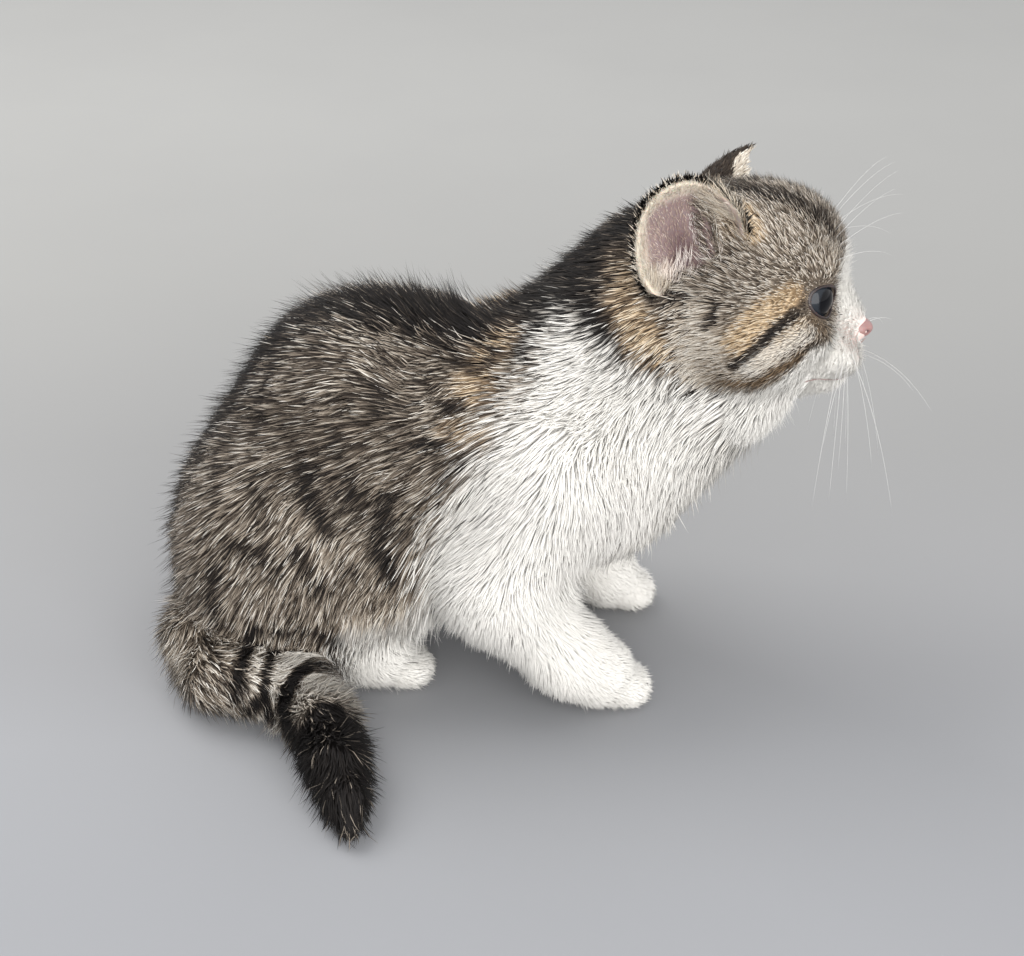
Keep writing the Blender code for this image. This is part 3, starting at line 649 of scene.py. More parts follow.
@dataclass(frozen=True)
class PhotoView:
    """The camera that took the picture, and the way from a pixel to the body."""

    width: int = 1024
    centre_x: float = 512.0
    centre_y: float = 478.0
    focal: float = 1719.0
    distance: float = 0.55
    rise: float = math.radians(32)
    target: Triple = (0, 0, 0.067)

    def place(self) -> Vector:
        """Where the camera stands."""
        back = Vector((0, -math.cos(self.rise), math.sin(self.rise)))
        return Vector(self.target) + back * self.distance

    def aim(self) -> np.ndarray:
        """The way the camera looks."""
        return np.array((0, math.cos(self.rise), -math.sin(self.rise)))

    def upright(self) -> np.ndarray:
        """The camera's way up."""
        return np.array((0, math.sin(self.rise), math.cos(self.rise)))

    def pixels(self, points: np.ndarray) -> np.ndarray:
        """Where the picture shows each place.

        Args:
            points: Places, one a row.

        Returns:
            Pixels, one a row.
        """
        apart = points - np.array(self.place())
        depth = apart @ self.aim()
        across = self.centre_x + self.focal * apart[:, 0] / depth
        return np.stack((across, self.centre_y - self.focal * (apart @ self.upright()) / depth), axis=1)

    def ways(self, pixels: np.ndarray) -> np.ndarray:
        """The ways from the camera through pixels, one a row, that go one metre deep."""
        across = np.outer((pixels[:, 0] - self.centre_x) / self.focal, (1.0, 0, 0))
        return self.aim() + across - np.outer((pixels[:, 1] - self.centre_y) / self.focal, self.upright())

    def on_coat(self, flesh: Flesh, pixels: Outline) -> np.ndarray:
        """The places on the coat that pixels show.

        Args:
            flesh: The body.
            pixels: Places in the picture.

        Returns:
            Places on the body, one a row.
        """
        ways = unit(self.ways(np.array(pixels, float)))
        points = np.array(self.place()) + ways * (self.distance - 0.14)
        nearest, lowest = points.copy(), np.full(len(points), 1.0)
        for _ in range(60):
            here = flesh.distance(points)
            better = here < lowest
            nearest[better], lowest[better] = points[better], here[better]
            points = points + ways * np.clip(here, -0.004, 0.02)[:, None] * 0.8
        return flesh.settle(nearest, sunk=False)

    def build(self) -> None:
        """Adds the camera."""
        data = bpy.data.cameras.new("camera")
        data.sensor_width = 36.0
        data.lens = data.sensor_width * self.focal / self.width
        data.clip_start = 0.01
        camera = add_object("camera", data)
        camera.location = self.place() + ORIGIN_SHIFT
        aim = Vector(self.target) - self.place()
        camera.rotation_euler = aim.to_track_quat("-Z", "Y").to_euler()
        bpy.context.scene.camera = camera


@dataclass(frozen=True)
class Stripe:
    """One mark of the coat along a line, as the picture shows it."""

    mark: Mark
    pixels: Outline
    half_width: float
    strength: float = 1.0
    mirrored: bool = True


# The marks as the picture shows them, in its pixels, with one line of painted shadow where the thigh shades
# the tail
STRIPES = (
    Stripe(Mark.DARK, ((346, 313), (410, 332), (456, 347)), 2.4, 0.7),
    Stripe(Mark.DARK, ((462, 360), (472, 368), (486, 361), (490, 350)), 3.2, 0.9),
    Stripe(Mark.DARK, ((442, 411), (458, 405)), 2.4, 0.8),
    Stripe(Mark.DARK, ((530, 330), (520, 352)), 3.2, 0.8),
    Stripe(Mark.DARK, ((416, 448), (441, 442)), 2.2, 0.9),
    Stripe(Mark.DARK, ((450, 474), (471, 454)), 2.2, 0.9),
    Stripe(Mark.DARK, ((386, 498), (377, 549), (389, 583)), 3.0),
    Stripe(Mark.DARK, ((306, 470), (309, 503), (328, 534)), 3.2, 0.8),
    Stripe(Mark.DARK, ((373, 380), (377, 411)), 2.6, 0.7),
    Stripe(Mark.DARK, ((334, 430), (346, 479), (352, 505)), 2.6, 0.6),
    Stripe(Mark.DARK, ((269, 369), (258, 400), (257, 425)), 3.2, 0.6),
    Stripe(Mark.DARK, ((242, 411), (217, 450), (212, 500)), 3.4, 0.5),
    Stripe(Mark.DARK, ((226, 546), (258, 551), (276, 575)), 3.0, 0.6),
    Stripe(Mark.DARK, ((297, 555), (321, 595)), 3.0, 0.6),
    Stripe(Mark.DARK, ((346, 571), (358, 577)), 2.4, 0.8),
    Stripe(Mark.DARK, ((250, 480), (262, 530)), 3.0, 0.45),
    Stripe(Mark.DARK, ((214, 570), (205, 640), (225, 690)), 3.6, 0.5),
    # Painted shadow: the dark line where the thigh shades the top of the tail
    Stripe(Mark.DARK, ((248, 632), (309, 634), (340, 646)), 2.2, 0.9, False),
    Stripe(Mark.GINGER, ((508, 328), (482, 352), (470, 388)), 6.0, 0.75),
    Stripe(Mark.GINGER, ((450, 430), (470, 440)), 5.0, 0.45),
    Stripe(Mark.GINGER, ((614, 258), (620, 298), (634, 330), (648, 356)), 6.2, 0.8),
    Stripe(Mark.PALE, ((632, 328), (644, 348), (690, 372)), 6.0, 1.0),
    Stripe(Mark.GINGER, ((744, 210), (752, 232)), 3.4, 0.7),
    Stripe(Mark.GINGER, ((794, 298), (758, 318), (738, 342)), 4.6, 0.85),
    Stripe(Mark.PALE, ((666, 310), (684, 325), (700, 345)), 6.0, 1.0),
    Stripe(Mark.PALE, ((352, 440), (410, 500)), 7.0, 0.35),
    Stripe(Mark.PALE, ((270, 520), (345, 560), (400, 600)), 6.0, 0.40),
    Stripe(Mark.PALE, ((668, 312), (694, 320)), 5.0, 0.55),
    Stripe(Mark.PALE, ((790, 224), (810, 240), (814, 262), (784, 280)), 6.0, 0.25),
    Stripe(Mark.PALE, ((808, 330), (788, 344), (760, 362), (738, 376)), 3.6, 1.0),
    Stripe(Mark.PALE, ((826, 240), (833, 252), (831, 268)), 2.0, 0.8),
    Stripe(
        Mark.PALE,
        ((540, 345), (526, 385), (498, 412), (476, 452), (452, 500), (430, 535), (416, 572)),
        5.0,
        0.7,
    ),
    Stripe(Mark.PALE, ((350, 626), (400, 618), (434, 598)), 4.5, 1.0),
    Stripe(Mark.PALE, ((660, 330), (690, 345), (712, 366)), 5.0, 0.6),
    Stripe(Mark.WHITE, ((808, 334), (790, 345), (768, 358), (748, 371)), 2.7, 0.42),
    Stripe(Mark.GINGER, ((804, 326), (784, 343), (756, 364)), 3.0, 0.32),
    Stripe(Mark.WHITE, ((352, 640), (400, 632), (436, 608)), 4.0, 0.5),
    Stripe(Mark.PALE, ((610, 246), (622, 290), (636, 324)), 6.0, 0.75),
    Stripe(Mark.DARK, ((803, 306), (779, 324), (757, 348), (731, 368)), 1.75),
    Stripe(Mark.DARK, ((250, 642), (238, 668), (240, 704)), 3.2, 0.9, False),
    Stripe(Mark.DARK, ((204, 668), (214, 696)), 2.6, 0.6, False),
    Stripe(Mark.DARK, ((837, 299), (839, 308), (833, 317)), 0.7),
    Stripe(Mark.BROWN, ((800, 357), (770, 375), (755, 386), (722, 384)), 1.5, 1.0),
    Stripe(Mark.BROWN, ((816, 318), (825, 330)), 2.8, 0.45),
    Stripe(Mark.DARK, ((807, 349), (829, 344)), 0.6, 0.8),
    Stripe(Mark.DARK, ((712, 300), (711, 312), (704, 325)), 1.7),
    Stripe(Mark.DARK, ((678, 297), (663, 305)), 1.8, 0.9),
    Stripe(Mark.DARK, ((573, 280), (588, 314), (606, 348)), 3.4, 0.9),
    Stripe(Mark.DARK, ((640, 225), (634, 262), (652, 300)), 2.6, 0.7),
    Stripe(Mark.DARK, ((805, 212), (826, 222), (842, 240)), 1.6, 0.6),
    Stripe(Mark.DARK, ((700, 184), (745, 186), (785, 194), (820, 212)), 4.6, 0.75),
    Stripe(Mark.PALE, ((730, 226), (772, 238)), 5.0, 0.5),
    Stripe(Mark.DARK, ((650, 372), (630, 352)), 1.6, 0.5),
)
WHITE_FRONT = (
    (846, 238), (842, 262), (840, 284), (838, 318), (832, 345), (812, 352), (800, 366), (776, 384),
    (752, 396), (718, 396), (685, 388), (648, 374), (612, 356), (578, 330), (552, 314), (540, 345),
    (526, 385), (498, 412), (476, 452), (452, 500), (430, 535), (416, 572), (424, 612),
)
# The rest of that outline, under and ahead of the body: places along it and heights
WHITE_FRONT_REST = ((-0.052, -0.02), (0.30, -0.02), (0.30, 0.30))
WHITE_HIND_FOOT = ((338, 652), (366, 644), (405, 636), (436, 622), (446, 650))
# The rings: a pixel on each one's middle, half its width in millimetres, and its strength
TAIL_RINGS = (((262, 628), 1.1, 1.0), ((279, 650), 1.7, 1.0), ((306, 668), 2.5, 1.0), ((240, 662), 2.0, 0.6))
TAIL_TIP_START = (322, 700)
# The dark lines of the tail's near side, and half the width of each, in pixels
TAIL_LINES = (
    (((253, 638), (269, 626), (295, 629), (315, 638), (330, 645)), 3.6),
    (((254, 640), (246, 653), (240, 670), (234, 697)), 5.5),
    (((305, 643), (284, 642), (272, 653), (266, 674), (264, 697), (271, 722)), 4.8),
    (((262, 700), (250, 712)), 7.0),
    (((334, 668), (315, 664), (299, 672), (288, 689), (282, 709), (290, 734)), 6.4),
)
TAIL_ZONE = (
    (253, 640), (269, 627), (295, 630), (315, 639), (345, 648), (400, 690), (400, 880), (270, 880),
    (262, 740), (236, 705), (240, 670),
)
TAIL_TIP = (
    (322, 700), (341, 703), (355, 722), (361, 752), (360, 780), (352, 810), (349, 850), (330, 830),
    (300, 800), (288, 765), (290, 745), (302, 724), (312, 708),
)
TAIL_PALE = ((356, 708), (367, 733), (373, 762), (367, 797))
FRECKLES = (
    (848, 322), (852, 320), (838, 341), (844, 337), (835, 349),
    (829, 357), (841, 351), (834, 365), (850, 343),
)
FRECKLE_RADIUS = 0.00055


def line_distance(points: np.ndarray, line: np.ndarray) -> np.ndarray:
    """How far each place is from a line of joined straight pieces.

    Args:
        points: Places, one a row, in two or three dimensions.
        line: The line's points in the same dimensions.

    Returns:
        Distances.
    """
    best = np.full(len(points), np.inf)
    for first, last in zip(line, line[1:]):
        along = last - first
        share = np.clip((points - first) @ along / max(along @ along, 1e-12), 0.0, 1.0)
        best = np.minimum(best, np.linalg.norm(points - first - share[:, None] * along, axis=1))
    return best


def inside(points: np.ndarray, corners: np.ndarray) -> np.ndarray:
    """Which places lie inside a flat outline.

    Args:
        points: Places in two dimensions.
        corners: The outline's corners in order.

    Returns:
        True for each place inside.
    """
    odd = np.zeros(len(points), bool)
    for (x0, z0), (x1, z1) in zip(corners, np.roll(corners, -1, axis=0)):
        rise = z1 - z0 if z1 != z0 else 1e-12
        crosses = (z0 > points[:, 1]) != (z1 > points[:, 1])
        odd ^= crosses & (points[:, 0] < x0 + (points[:, 1] - z0) * (x1 - x0) / rise)
    return odd


class Markings:
    """Where the coat is dark, ginger, white, pale and brown."""

    def __init__(self, flesh: Flesh, view: PhotoView, anatomy: Anatomy) -> None:
        """Finds each mark's place on the body.

        Args:
            flesh: The body.
            view: The picture's camera.
            anatomy: The sizes of the body.
        """
        self.lines = [view.on_coat(flesh, stripe.pixels) for stripe in STRIPES]
        front = view.on_coat(flesh, WHITE_FRONT)[:, (0, 2)]
        self.white_front = np.vstack((front, WHITE_FRONT_REST, front[:1] + 0.004))
        foot = view.on_coat(flesh, WHITE_HIND_FOOT)[:, (0, 2)]
        self.white_foot = np.vstack((foot, ((foot[-1][0] + 0.01, -0.02), (foot[0][0], -0.02))))
        self.tail = np.array([point[:3] for point in anatomy.tail_line])
        rings = view.on_coat(flesh, tuple(ring[0] for ring in TAIL_RINGS))
        self.rings = self.along_tail(rings)[0]
        self.tip = self.along_tail(view.on_coat(flesh, (TAIL_TIP_START,)))[0][0]
        self.view = view
        self.freckles = view.on_coat(flesh, FRECKLES)

    def along_tail(self, points: np.ndarray) -> tuple[np.ndarray, np.ndarray]:
        """How far along the tail each place is.

        Args:
            points: Places, one a row.

        Returns:
            The way from the tail's root, and the distance from its middle line.
        """
        best, way, gone = np.full(len(points), np.inf), np.zeros(len(points)), 0.0
        for first, last in zip(self.tail, self.tail[1:]):
            along = last - first
            length = np.linalg.norm(along)
            share = np.clip((points - first) @ along / length**2, 0.0, 1.0)
            apart = np.linalg.norm(points - first - share[:, None] * along, axis=1)
            way = np.where(apart < best, gone + share * length, way)
            best = np.minimum(best, apart)
            gone += length
        return way, best

    def near_side(self, points: np.ndarray, way: np.ndarray) -> np.ndarray:
        """Which places of the tail face the picture's camera.

        Args:
            points: Places, one a row.
            way: Their ways along the tail.

        Returns:
            Shares from 0 on the hidden side to 1 on the near side.
        """
        lengths = np.linalg.norm(np.diff(self.tail, axis=0), axis=1)
        knots = np.concatenate(((0.0,), np.cumsum(lengths)))
        middle = np.stack([np.interp(way, knots, self.tail[:, axis]) for axis in range(3)], axis=1)
        return smooth_step(0.004, -0.001, (points - middle) @ self.view.aim())

    def ringed(self, points: np.ndarray) -> np.ndarray:
        """Which places lie past the tail's root, where its rings are.

        Args:
            points: Places, one a row.

        Returns:
            True for each such place.
        """
        way = self.along_tail(points)[0]
        seen = inside(self.view.pixels(points), np.array(TAIL_ZONE, float))
        return np.where(self.near_side(points, way) > 0.5, seen, way > self.rings[0] - 0.003)

    def folded(self, points: np.ndarray) -> np.ndarray:
        """The place on the near side that looks like each place, as the coat is nearly the same on both.

        Args:
            points: Places, one a row.

        Returns:
            The matching places.
        """
        body = points.copy()
        middle = midline(points[:, 0])
        body[:, 1] = middle - np.abs(points[:, 1] - middle)
        local = seen_from(head_frame(), points)
        share = smooth_step(*HEAD_BEGINS, local[:, 0])[:, None]
        local[:, 1] = -np.abs(local[:, 1])
        return body + share * (put_back(head_frame(), local) - body)

    def read(self, points: np.ndarray, names: np.ndarray, fray: np.ndarray) -> dict[Mark, np.ndarray]:
        """How strongly each mark colours each place.

        Args:
            points: Places, one a row.
            names: The coat's name at each place.
            fray: One random number for each place, which frays the marks' edges.

        Returns:
            Strengths from 0 to 1 for each mark.
        """
        near = self.folded(points)
        found = {mark: np.zeros(len(points)) for mark in Mark}
        on_tail = names == "tail"
        for stripe, line in zip(STRIPES, self.lines):
            places = near if stripe.mirrored else points
            width = stripe.half_width * MM
            apart = line_distance(places, line) + fray * width * 0.22
            strength = stripe.strength * (1 - smooth_step(0.55 * width, 1.35 * width, apart))
            strength[on_tail & (stripe.mark is not Mark.DARK)] = 0.0
            found[stripe.mark] = np.maximum(found[stripe.mark], strength)
        spine = self.back_stripe(near, names, fray)
        found[Mark.DARK] = np.maximum(found[Mark.DARK], spine)
        found[Mark.WHITE] = np.maximum(found[Mark.WHITE], self.white(near, fray, names)) * (1 - spine)
        self.colour_tail(found, points, on_tail, fray)
        return found

    def back_stripe(self, near: np.ndarray, names: np.ndarray, fray: np.ndarray) -> np.ndarray:
        """The dark band along the spine and over the nape.

        Args:
            near: Folded places.
            names: The coat's name at each place.
            fray: One random number for each place.

        Returns:
            Its strength at each place.
        """
        middle = midline(near[:, 0])
        apart = np.abs(near[:, 1] - middle) + 0.0030 * fray + 0.002 * waves(near, 0.02, 5)
        width = 0.0125 + 0.008 * smooth_step(0.0, 0.03, near[:, 0])
        band = 1 - smooth_step(0.65, 1.45, apart / width)
        high = smooth_step(0.050, 0.085, near[:, 2] + 0.25 * np.minimum(-near[:, 0] - 0.06, 0.05))
        trunk = np.isin(names, ("back", "rump", "neck", "chest", "thigh")).astype(float)
        behind = smooth_step(*NAPE_BEGINS, seen_from(head_frame(), near)[:, 0])
        trunk = np.where(names == "skull", behind, trunk)
        return band * (0.45 + 0.55 * high) * trunk * 0.95

    def white(self, near: np.ndarray, fray: np.ndarray, names: np.ndarray) -> np.ndarray:
        """The white of muzzle, throat, chest, belly and feet.

        Args:
            near: Folded places.
            fray: One random number for each place.
            names: The coat's name at each place.

        Returns:
            Its strength at each place.
        """
        flat = near[:, (0, 2)]
        total = np.zeros(len(near))
        face = np.isin(names, ("face", "skull", "cheek"))
        ragged = np.where(face, 0.0006, 0.0042)
        for outline in (self.white_front, self.white_foot):
            sign = np.where(inside(flat, outline), 1.0, -1.0)
            edge = line_distance(flat, np.vstack((outline, outline[:1]))) * sign
            total = np.maximum(total, smooth_step(-1.0, 1.0, (edge + fray * ragged) / ragged))
        belly = (names == "belly") & (near[:, 2] < 0.030)
        paws = (names == "paw") | (names == "arm")
        return np.where(belly | (paws & (near[:, 0] > -0.02)), 1.0, total)

    def colour_tail(
        self, found: dict[Mark, np.ndarray], points: np.ndarray, on_tail: np.ndarray, fray: np.ndarray
    ) -> None:
        """Rings and the black tip of the tail.

        Args:
            found: The strengths so far, changed here.
            points: Places, one a row.
            on_tail: Which of them are on the tail.
            fray: One random number for each place.
        """
        way = self.along_tail(points)[0] + 0.0005 * fray
        root = 0.22 - 0.22 * smooth_step(self.rings[0] - 0.010, self.rings[0] + 0.002, way)
        dark, drawn = root, root
        for ring, (_, half_width, strength) in zip(self.rings, TAIL_RINGS):
            apart = np.abs(way - ring) / (half_width * MM)
            dark = np.maximum(dark, strength * (1 - smooth_step(0.7, 1.3, apart)))
        pixels = self.view.pixels(points)
        for line, half_width in TAIL_LINES:
            apart = (line_distance(pixels, np.array(line, float)) + fray) / half_width
            drawn = np.maximum(drawn, 1 - smooth_step(0.75, 1.35, apart))
        tip = np.array(TAIL_TIP, float)
        sign = np.where(inside(pixels, tip), 1.0, -1.0)
        edge = line_distance(pixels, np.vstack((tip, tip[:1]))) * sign
        drawn = np.maximum(drawn, smooth_step(-3.0, 3.0, edge + 2.0 * fray))
        streaks = (line_distance(pixels, np.array(TAIL_PALE, float)) < 9) & (fray > -0.4)
        drawn = np.where(streaks, 0.0, drawn)
        near_side = self.near_side(points, way)
        dark = dark + (drawn - dark) * near_side
        dark = np.maximum(dark, smooth_step(self.tip - 0.003, self.tip + 0.003, way + 0.0025 * fray))
        found[Mark.DARK] = np.where(on_tail, np.maximum(dark, found[Mark.DARK]), found[Mark.DARK])
        found[Mark.WHITE] = np.where(on_tail, 0.0, found[Mark.WHITE])
        found[Mark.PALE] = np.where(on_tail & (dark < 0.5), 0.70, found[Mark.PALE])


class Value:
    """A number that flows through a material, on which Python's signs work."""

    def __init__(self, graph: "Graph", socket: bpy.types.NodeSocket) -> None:
        """Wraps a socket of the graph that gives the number."""
        self.graph = graph
        self.socket = socket

    def combine(self, operation: str, first: "Value | float", last: "Value | float") -> "Value":
        """One step of arithmetic: the Math node's operation on first and last."""
        node = self.graph.node("ShaderNodeMath", {"operation": operation}, {0: first, 1: last})
        return Value(self.graph, node.outputs[0])

    def __add__(self, other: "Value | float") -> "Value":
        """This number and another."""
        return self.combine("ADD", self, other)

    def __sub__(self, other: "Value | float") -> "Value":
        """This number without another."""
        return self.combine("SUBTRACT", self, other)

    def __rsub__(self, other: float) -> "Value":
        """Another number without this one."""
        return self.combine("SUBTRACT", other, self)

    def __mul__(self, other: "Value | float") -> "Value":
        """This number times another."""
        return self.combine("MULTIPLY", self, other)

    __radd__ = __add__
    __rmul__ = __mul__

    def clipped(self) -> "Value":
        """This number, kept between 0 and 1."""
        node = self.graph.node("ShaderNodeClamp", {}, {0: self})
        return Value(self.graph, node.outputs[0])


class Graph:
    """The nodes of one material."""

    def __init__(self, name: str) -> None:
        """Starts an empty material.

        Args:
            name: The material's name.
        """
        self.material = bpy.data.materials.new(name)
        self.material.use_nodes = True
        self.tree = self.material.node_tree
        self.tree.nodes.clear()

    def node(self, kind: str, settings: dict, inputs: dict) -> bpy.types.Node:
        """Adds a node.

        Args:
            kind: The node's type.
            settings: Its settings; stops holds a ramp's places and colours.
            inputs: Values or links by socket name or number.

        Returns:
            The node.
        """
        node = self.tree.nodes.new(kind)
        for key, setting in settings.items():
            if key == "stops":
                ramp = node.color_ramp
                while len(ramp.elements) < len(setting):
                    ramp.elements.new(0.5)
                for element, (position, paint) in zip(ramp.elements, setting):
                    element.position = position
                    element.color = (*paint, 1)
            else:
                setattr(node, key, setting)
        for key, given in inputs.items():
            socket = node.inputs[key]
            if isinstance(given, Value):
                self.tree.links.new(given.socket, socket)
            elif isinstance(given, bpy.types.NodeSocket):
                self.tree.links.new(given, socket)
            elif isinstance(given, tuple) and len(given) == 3 and socket.type == "RGBA":
                socket.default_value = (*given, 1)
            else:
                socket.default_value = given
        return node

    def value(self, socket: bpy.types.NodeSocket) -> Value:
        """A socket as a number."""
        return Value(self, socket)

    def attribute(self, name: str) -> bpy.types.Node:
        """Reads a named attribute of the mesh."""
        return self.node("ShaderNodeAttribute", {"attribute_name": name}, {})

    def place(self) -> bpy.types.NodeSocket:
        """The place on the object itself."""
        return self.node("ShaderNodeTexCoord", {}, {}).outputs["Object"]

    def noise(self, scale: float, detail: float = 2.0) -> Value:
        """Soft noise of about 0 to 1 over the object's own places, fine by scale, in detail layers."""
        inputs = {"Vector": self.place(), "Scale": scale, "Detail": detail}
        return Value(self, self.node("ShaderNodeTexNoise", {}, inputs).outputs["Fac"])

    def mix(self, share: Value | float, first: object, last: object) -> bpy.types.NodeSocket:
        """Blends two colours or their sockets, with share of the last."""
        settings = {"data_type": "RGBA", "clamp_factor": True}
        return self.node("ShaderNodeMix", settings, {0: share, 6: first, 7: last}).outputs[2]

    def ramp(self, share: Value, stops: tuple[tuple[float, Paint], ...]) -> bpy.types.NodeSocket:
        """The colour at share on a ramp of stops."""
        return self.node("ShaderNodeValToRGB", {"stops": stops}, {0: share}).outputs[0]

    def bump(self, height: Value, depth: float, strength: float) -> bpy.types.NodeSocket:
        """The normal of a relief that is depth metres deep and shows with strength."""
        inputs = {"Height": height, "Distance": depth, "Strength": strength}
        return self.node("ShaderNodeBump", {}, inputs).outputs[0]

    def surface(self, inputs: dict) -> bpy.types.Material:
        """Ends the material with a principled surface.

        Args:
            inputs: The surface's values or links.

        Returns:
            The material.
        """
        shader = self.node("ShaderNodeBsdfPrincipled", {}, inputs)
        self.node("ShaderNodeOutputMaterial", {}, {"Surface": shader.outputs[0]})
        return self.material


@dataclass(frozen=True)
class CoatFinish:
    """Hair and skin that share the kitten's markings."""

    name: str
    grey: tuple[tuple[float, Paint], ...] = (
        (0.00, (0.006, 0.005, 0.005)),
        (0.28, (0.022, 0.017, 0.014)),
        (0.52, (0.125, 0.102, 0.082)),
        (0.74, (0.330, 0.285, 0.235)),
        (0.90, (0.580, 0.535, 0.470)),
        (1.00, (0.780, 0.750, 0.700)),
    )
    ginger: tuple[tuple[float, Paint], ...] = (
        (0.00, (0.040, 0.024, 0.015)),
        (0.40, (0.200, 0.136, 0.082)),
        (0.75, (0.540, 0.385, 0.225)),
        (1.00, (0.740, 0.630, 0.470)),
    )
    white: Paint = (0.775, 0.755, 0.715)
    pink: Paint = (0.64, 0.44, 0.40)
    roughness: float = 0.70
    sheen: float = 0.02

    def build(self) -> bpy.types.Material:
        """Mixes the finish.

        Returns:
            The material.
        """
        graph = Graph(self.name)
        marks = graph.node("ShaderNodeSeparateColor", {}, {0: graph.attribute("marks").outputs["Color"]})
        shade = graph.value(graph.attribute("shade").outputs["Fac"])
        tint = (shade + (graph.noise(900.0) - 0.5) * 0.16).clipped()
        colour = graph.mix(
            graph.value(marks.outputs[0]), graph.ramp(tint, self.grey), graph.ramp(tint, self.ginger)
        )
        light = graph.mix(shade, (0.62, 0.600, 0.56), self.white)
        colour = graph.mix(graph.value(marks.outputs[1]), colour, light)
        colour = graph.mix(graph.value(marks.outputs[2]), colour, self.pink)
        return graph.surface(
            {
                "Base Color": colour,
                "Roughness": self.roughness,
                "Sheen Weight": self.sheen,
                "Specular IOR Level": 0.20,
            }
        )


@dataclass(frozen=True)
class EyeFinish:
    """A wet, dark slate-blue kitten's eye."""

    name: str = "eye"
    pupil: Paint = (0.002, 0.002, 0.003)
    iris: Paint = (0.017, 0.020, 0.025)
    rim: Paint = (0.010, 0.008, 0.009)
    white: Paint = (0.060, 0.030, 0.028)

    def build(self) -> bpy.types.Material:
        """Mixes the finish.

        Returns:
            The material.
        """
        graph = Graph(self.name)
        turn = graph.value(graph.attribute("gaze").outputs["Fac"])
        streaks = (graph.noise(1400.0) - 0.5) * 0.05
        stops = (
            (0.0, self.pupil),
            (0.30, self.pupil),
            (0.36, self.iris),
            (0.52, tuple(part * 1.5 for part in self.iris)),
            (0.60, self.rim),
            (0.72, self.white),
        )
        colour = graph.ramp((turn + streaks).clipped(), stops)
        inputs = {"Base Color": colour, "Roughness": 0.06, "Specular IOR Level": 0.22}
        return graph.surface(inputs)


@dataclass(frozen=True)
class SkinFinish:
    """Bare skin, damp or dry, mottled between two colours."""

    name: str
    first: Paint
    last: Paint
    roughness: float
    scale: float = 260.0
    grain: float = 0.00015

    def build(self) -> bpy.types.Material:
        """Mixes the finish.

        Returns:
            The material.
        """
        graph = Graph(self.name)
        spots = ((graph.noise(self.scale, 4.0) - 0.35) * 2.2).clipped()
        grain = graph.bump(graph.noise(self.scale * 12), self.grain, 0.6)
        return graph.surface(
            {
                "Base Color": graph.mix(spots, self.first, self.last),
                "Roughness": self.roughness,
                "Subsurface Weight": 0.12,
                "Subsurface Scale": 0.0015,
                "Normal": grain,
            }
        )


@dataclass(frozen=True)
class EarFinish:
    """The cup of an ear: mauve-pink inside, with painted shade darkening it to deep mauve in its hollow,
    cream towards the rim, furred outside.
    """

    name: str = "ear"
    inner: Paint = (0.235, 0.165, 0.160)
    # Painted shade: the deep mauve that darkens the cup's hollow
    deep: Paint = (0.085, 0.042, 0.046)
    rim: Paint = (0.80, 0.70, 0.56)
    outer: Paint = (0.055, 0.043, 0.036)

    def build(self) -> bpy.types.Material:
        """Mixes the finish.

        Returns:
            The material.
        """
        graph = Graph(self.name)
        parts = graph.node("ShaderNodeSeparateColor", {}, {0: graph.attribute("ear").outputs["Color"]})
        edge, deep, back = (graph.value(socket) for socket in parts.outputs[:3])
        fine = (graph.noise(700.0, 4.0) - 0.5) * 0.35
        # Painted shade darkens the inside towards the pit of the cup
        colour = graph.mix((deep + fine).clipped(), self.inner, self.deep)
        colour = graph.mix((edge + fine * edge).clipped(), colour, self.rim)
        colour = graph.mix(back, colour, self.outer)
        return graph.surface(
            {
                "Base Color": colour,
                "Roughness": 0.6,
                "Subsurface Weight": 0.15,
                "Subsurface Scale": 0.001,
                "Sheen Weight": 0.2,
                "Normal": graph.bump(graph.noise(900.0), 0.0002, 0.5),
            }
        )


@dataclass(frozen=True)
class PlainFinish:
    """A fine smooth finish with slight unevenness, as on whiskers."""

    name: str
    paint: Paint
    shade: Paint
    roughness: float = 0.35

    def build(self) -> bpy.types.Material:
        """Mixes the finish.

        Returns:
            The material.
        """
        graph = Graph(self.name)
        colour = graph.mix(graph.noise(500.0), self.paint, self.shade)
        return graph.surface({"Base Color": colour, "Roughness": self.roughness})


@dataclass(frozen=True)
class FloorFinish:
    """A seamless pale grey sheet, with the fall of the studio light painted into its tone from front to back.
    """

    name: str = "floor"
    reach: float = 1.25
    start: float = 0.25
    # Painted light: lighter towards the back and darker towards the front, with a slight dip from under the
    # kitten to just behind it
    stops: tuple[tuple[float, Paint], ...] = (
        (0.125, (0.244, 0.249, 0.262)),
        (0.213, (0.252, 0.256, 0.267)),
        (0.268, (0.238, 0.240, 0.248)),
        (0.441, (0.244, 0.244, 0.243)),
        (0.625, (0.274, 0.273, 0.266)),
        (0.926, (0.306, 0.305, 0.297)),
    )

    def build(self) -> bpy.types.Material:
        """Mixes the finish.

        Returns:
            The material.
        """
        graph = Graph(self.name)
        split = graph.node("ShaderNodeSeparateXYZ", {}, {0: graph.place()})
        share = (graph.value(split.outputs[1]) * self.reach + self.start).clipped()
        colour = graph.ramp(share, self.stops)
        colour = graph.mix((graph.noise(9.0, 3.0) - 0.4) * 0.25, colour, (0.21, 0.21, 0.21))
        return graph.surface({"Base Color": colour, "Roughness": 0.65, "Specular IOR Level": 0.2})


def select_only(obj: bpy.types.Object) -> None:
    """Makes an object the one that is selected and active.

    Args:
        obj: The object.
    """
    bpy.ops.object.select_all(action="DESELECT")
    obj.select_set(True)
    bpy.context.view_layer.objects.active = obj


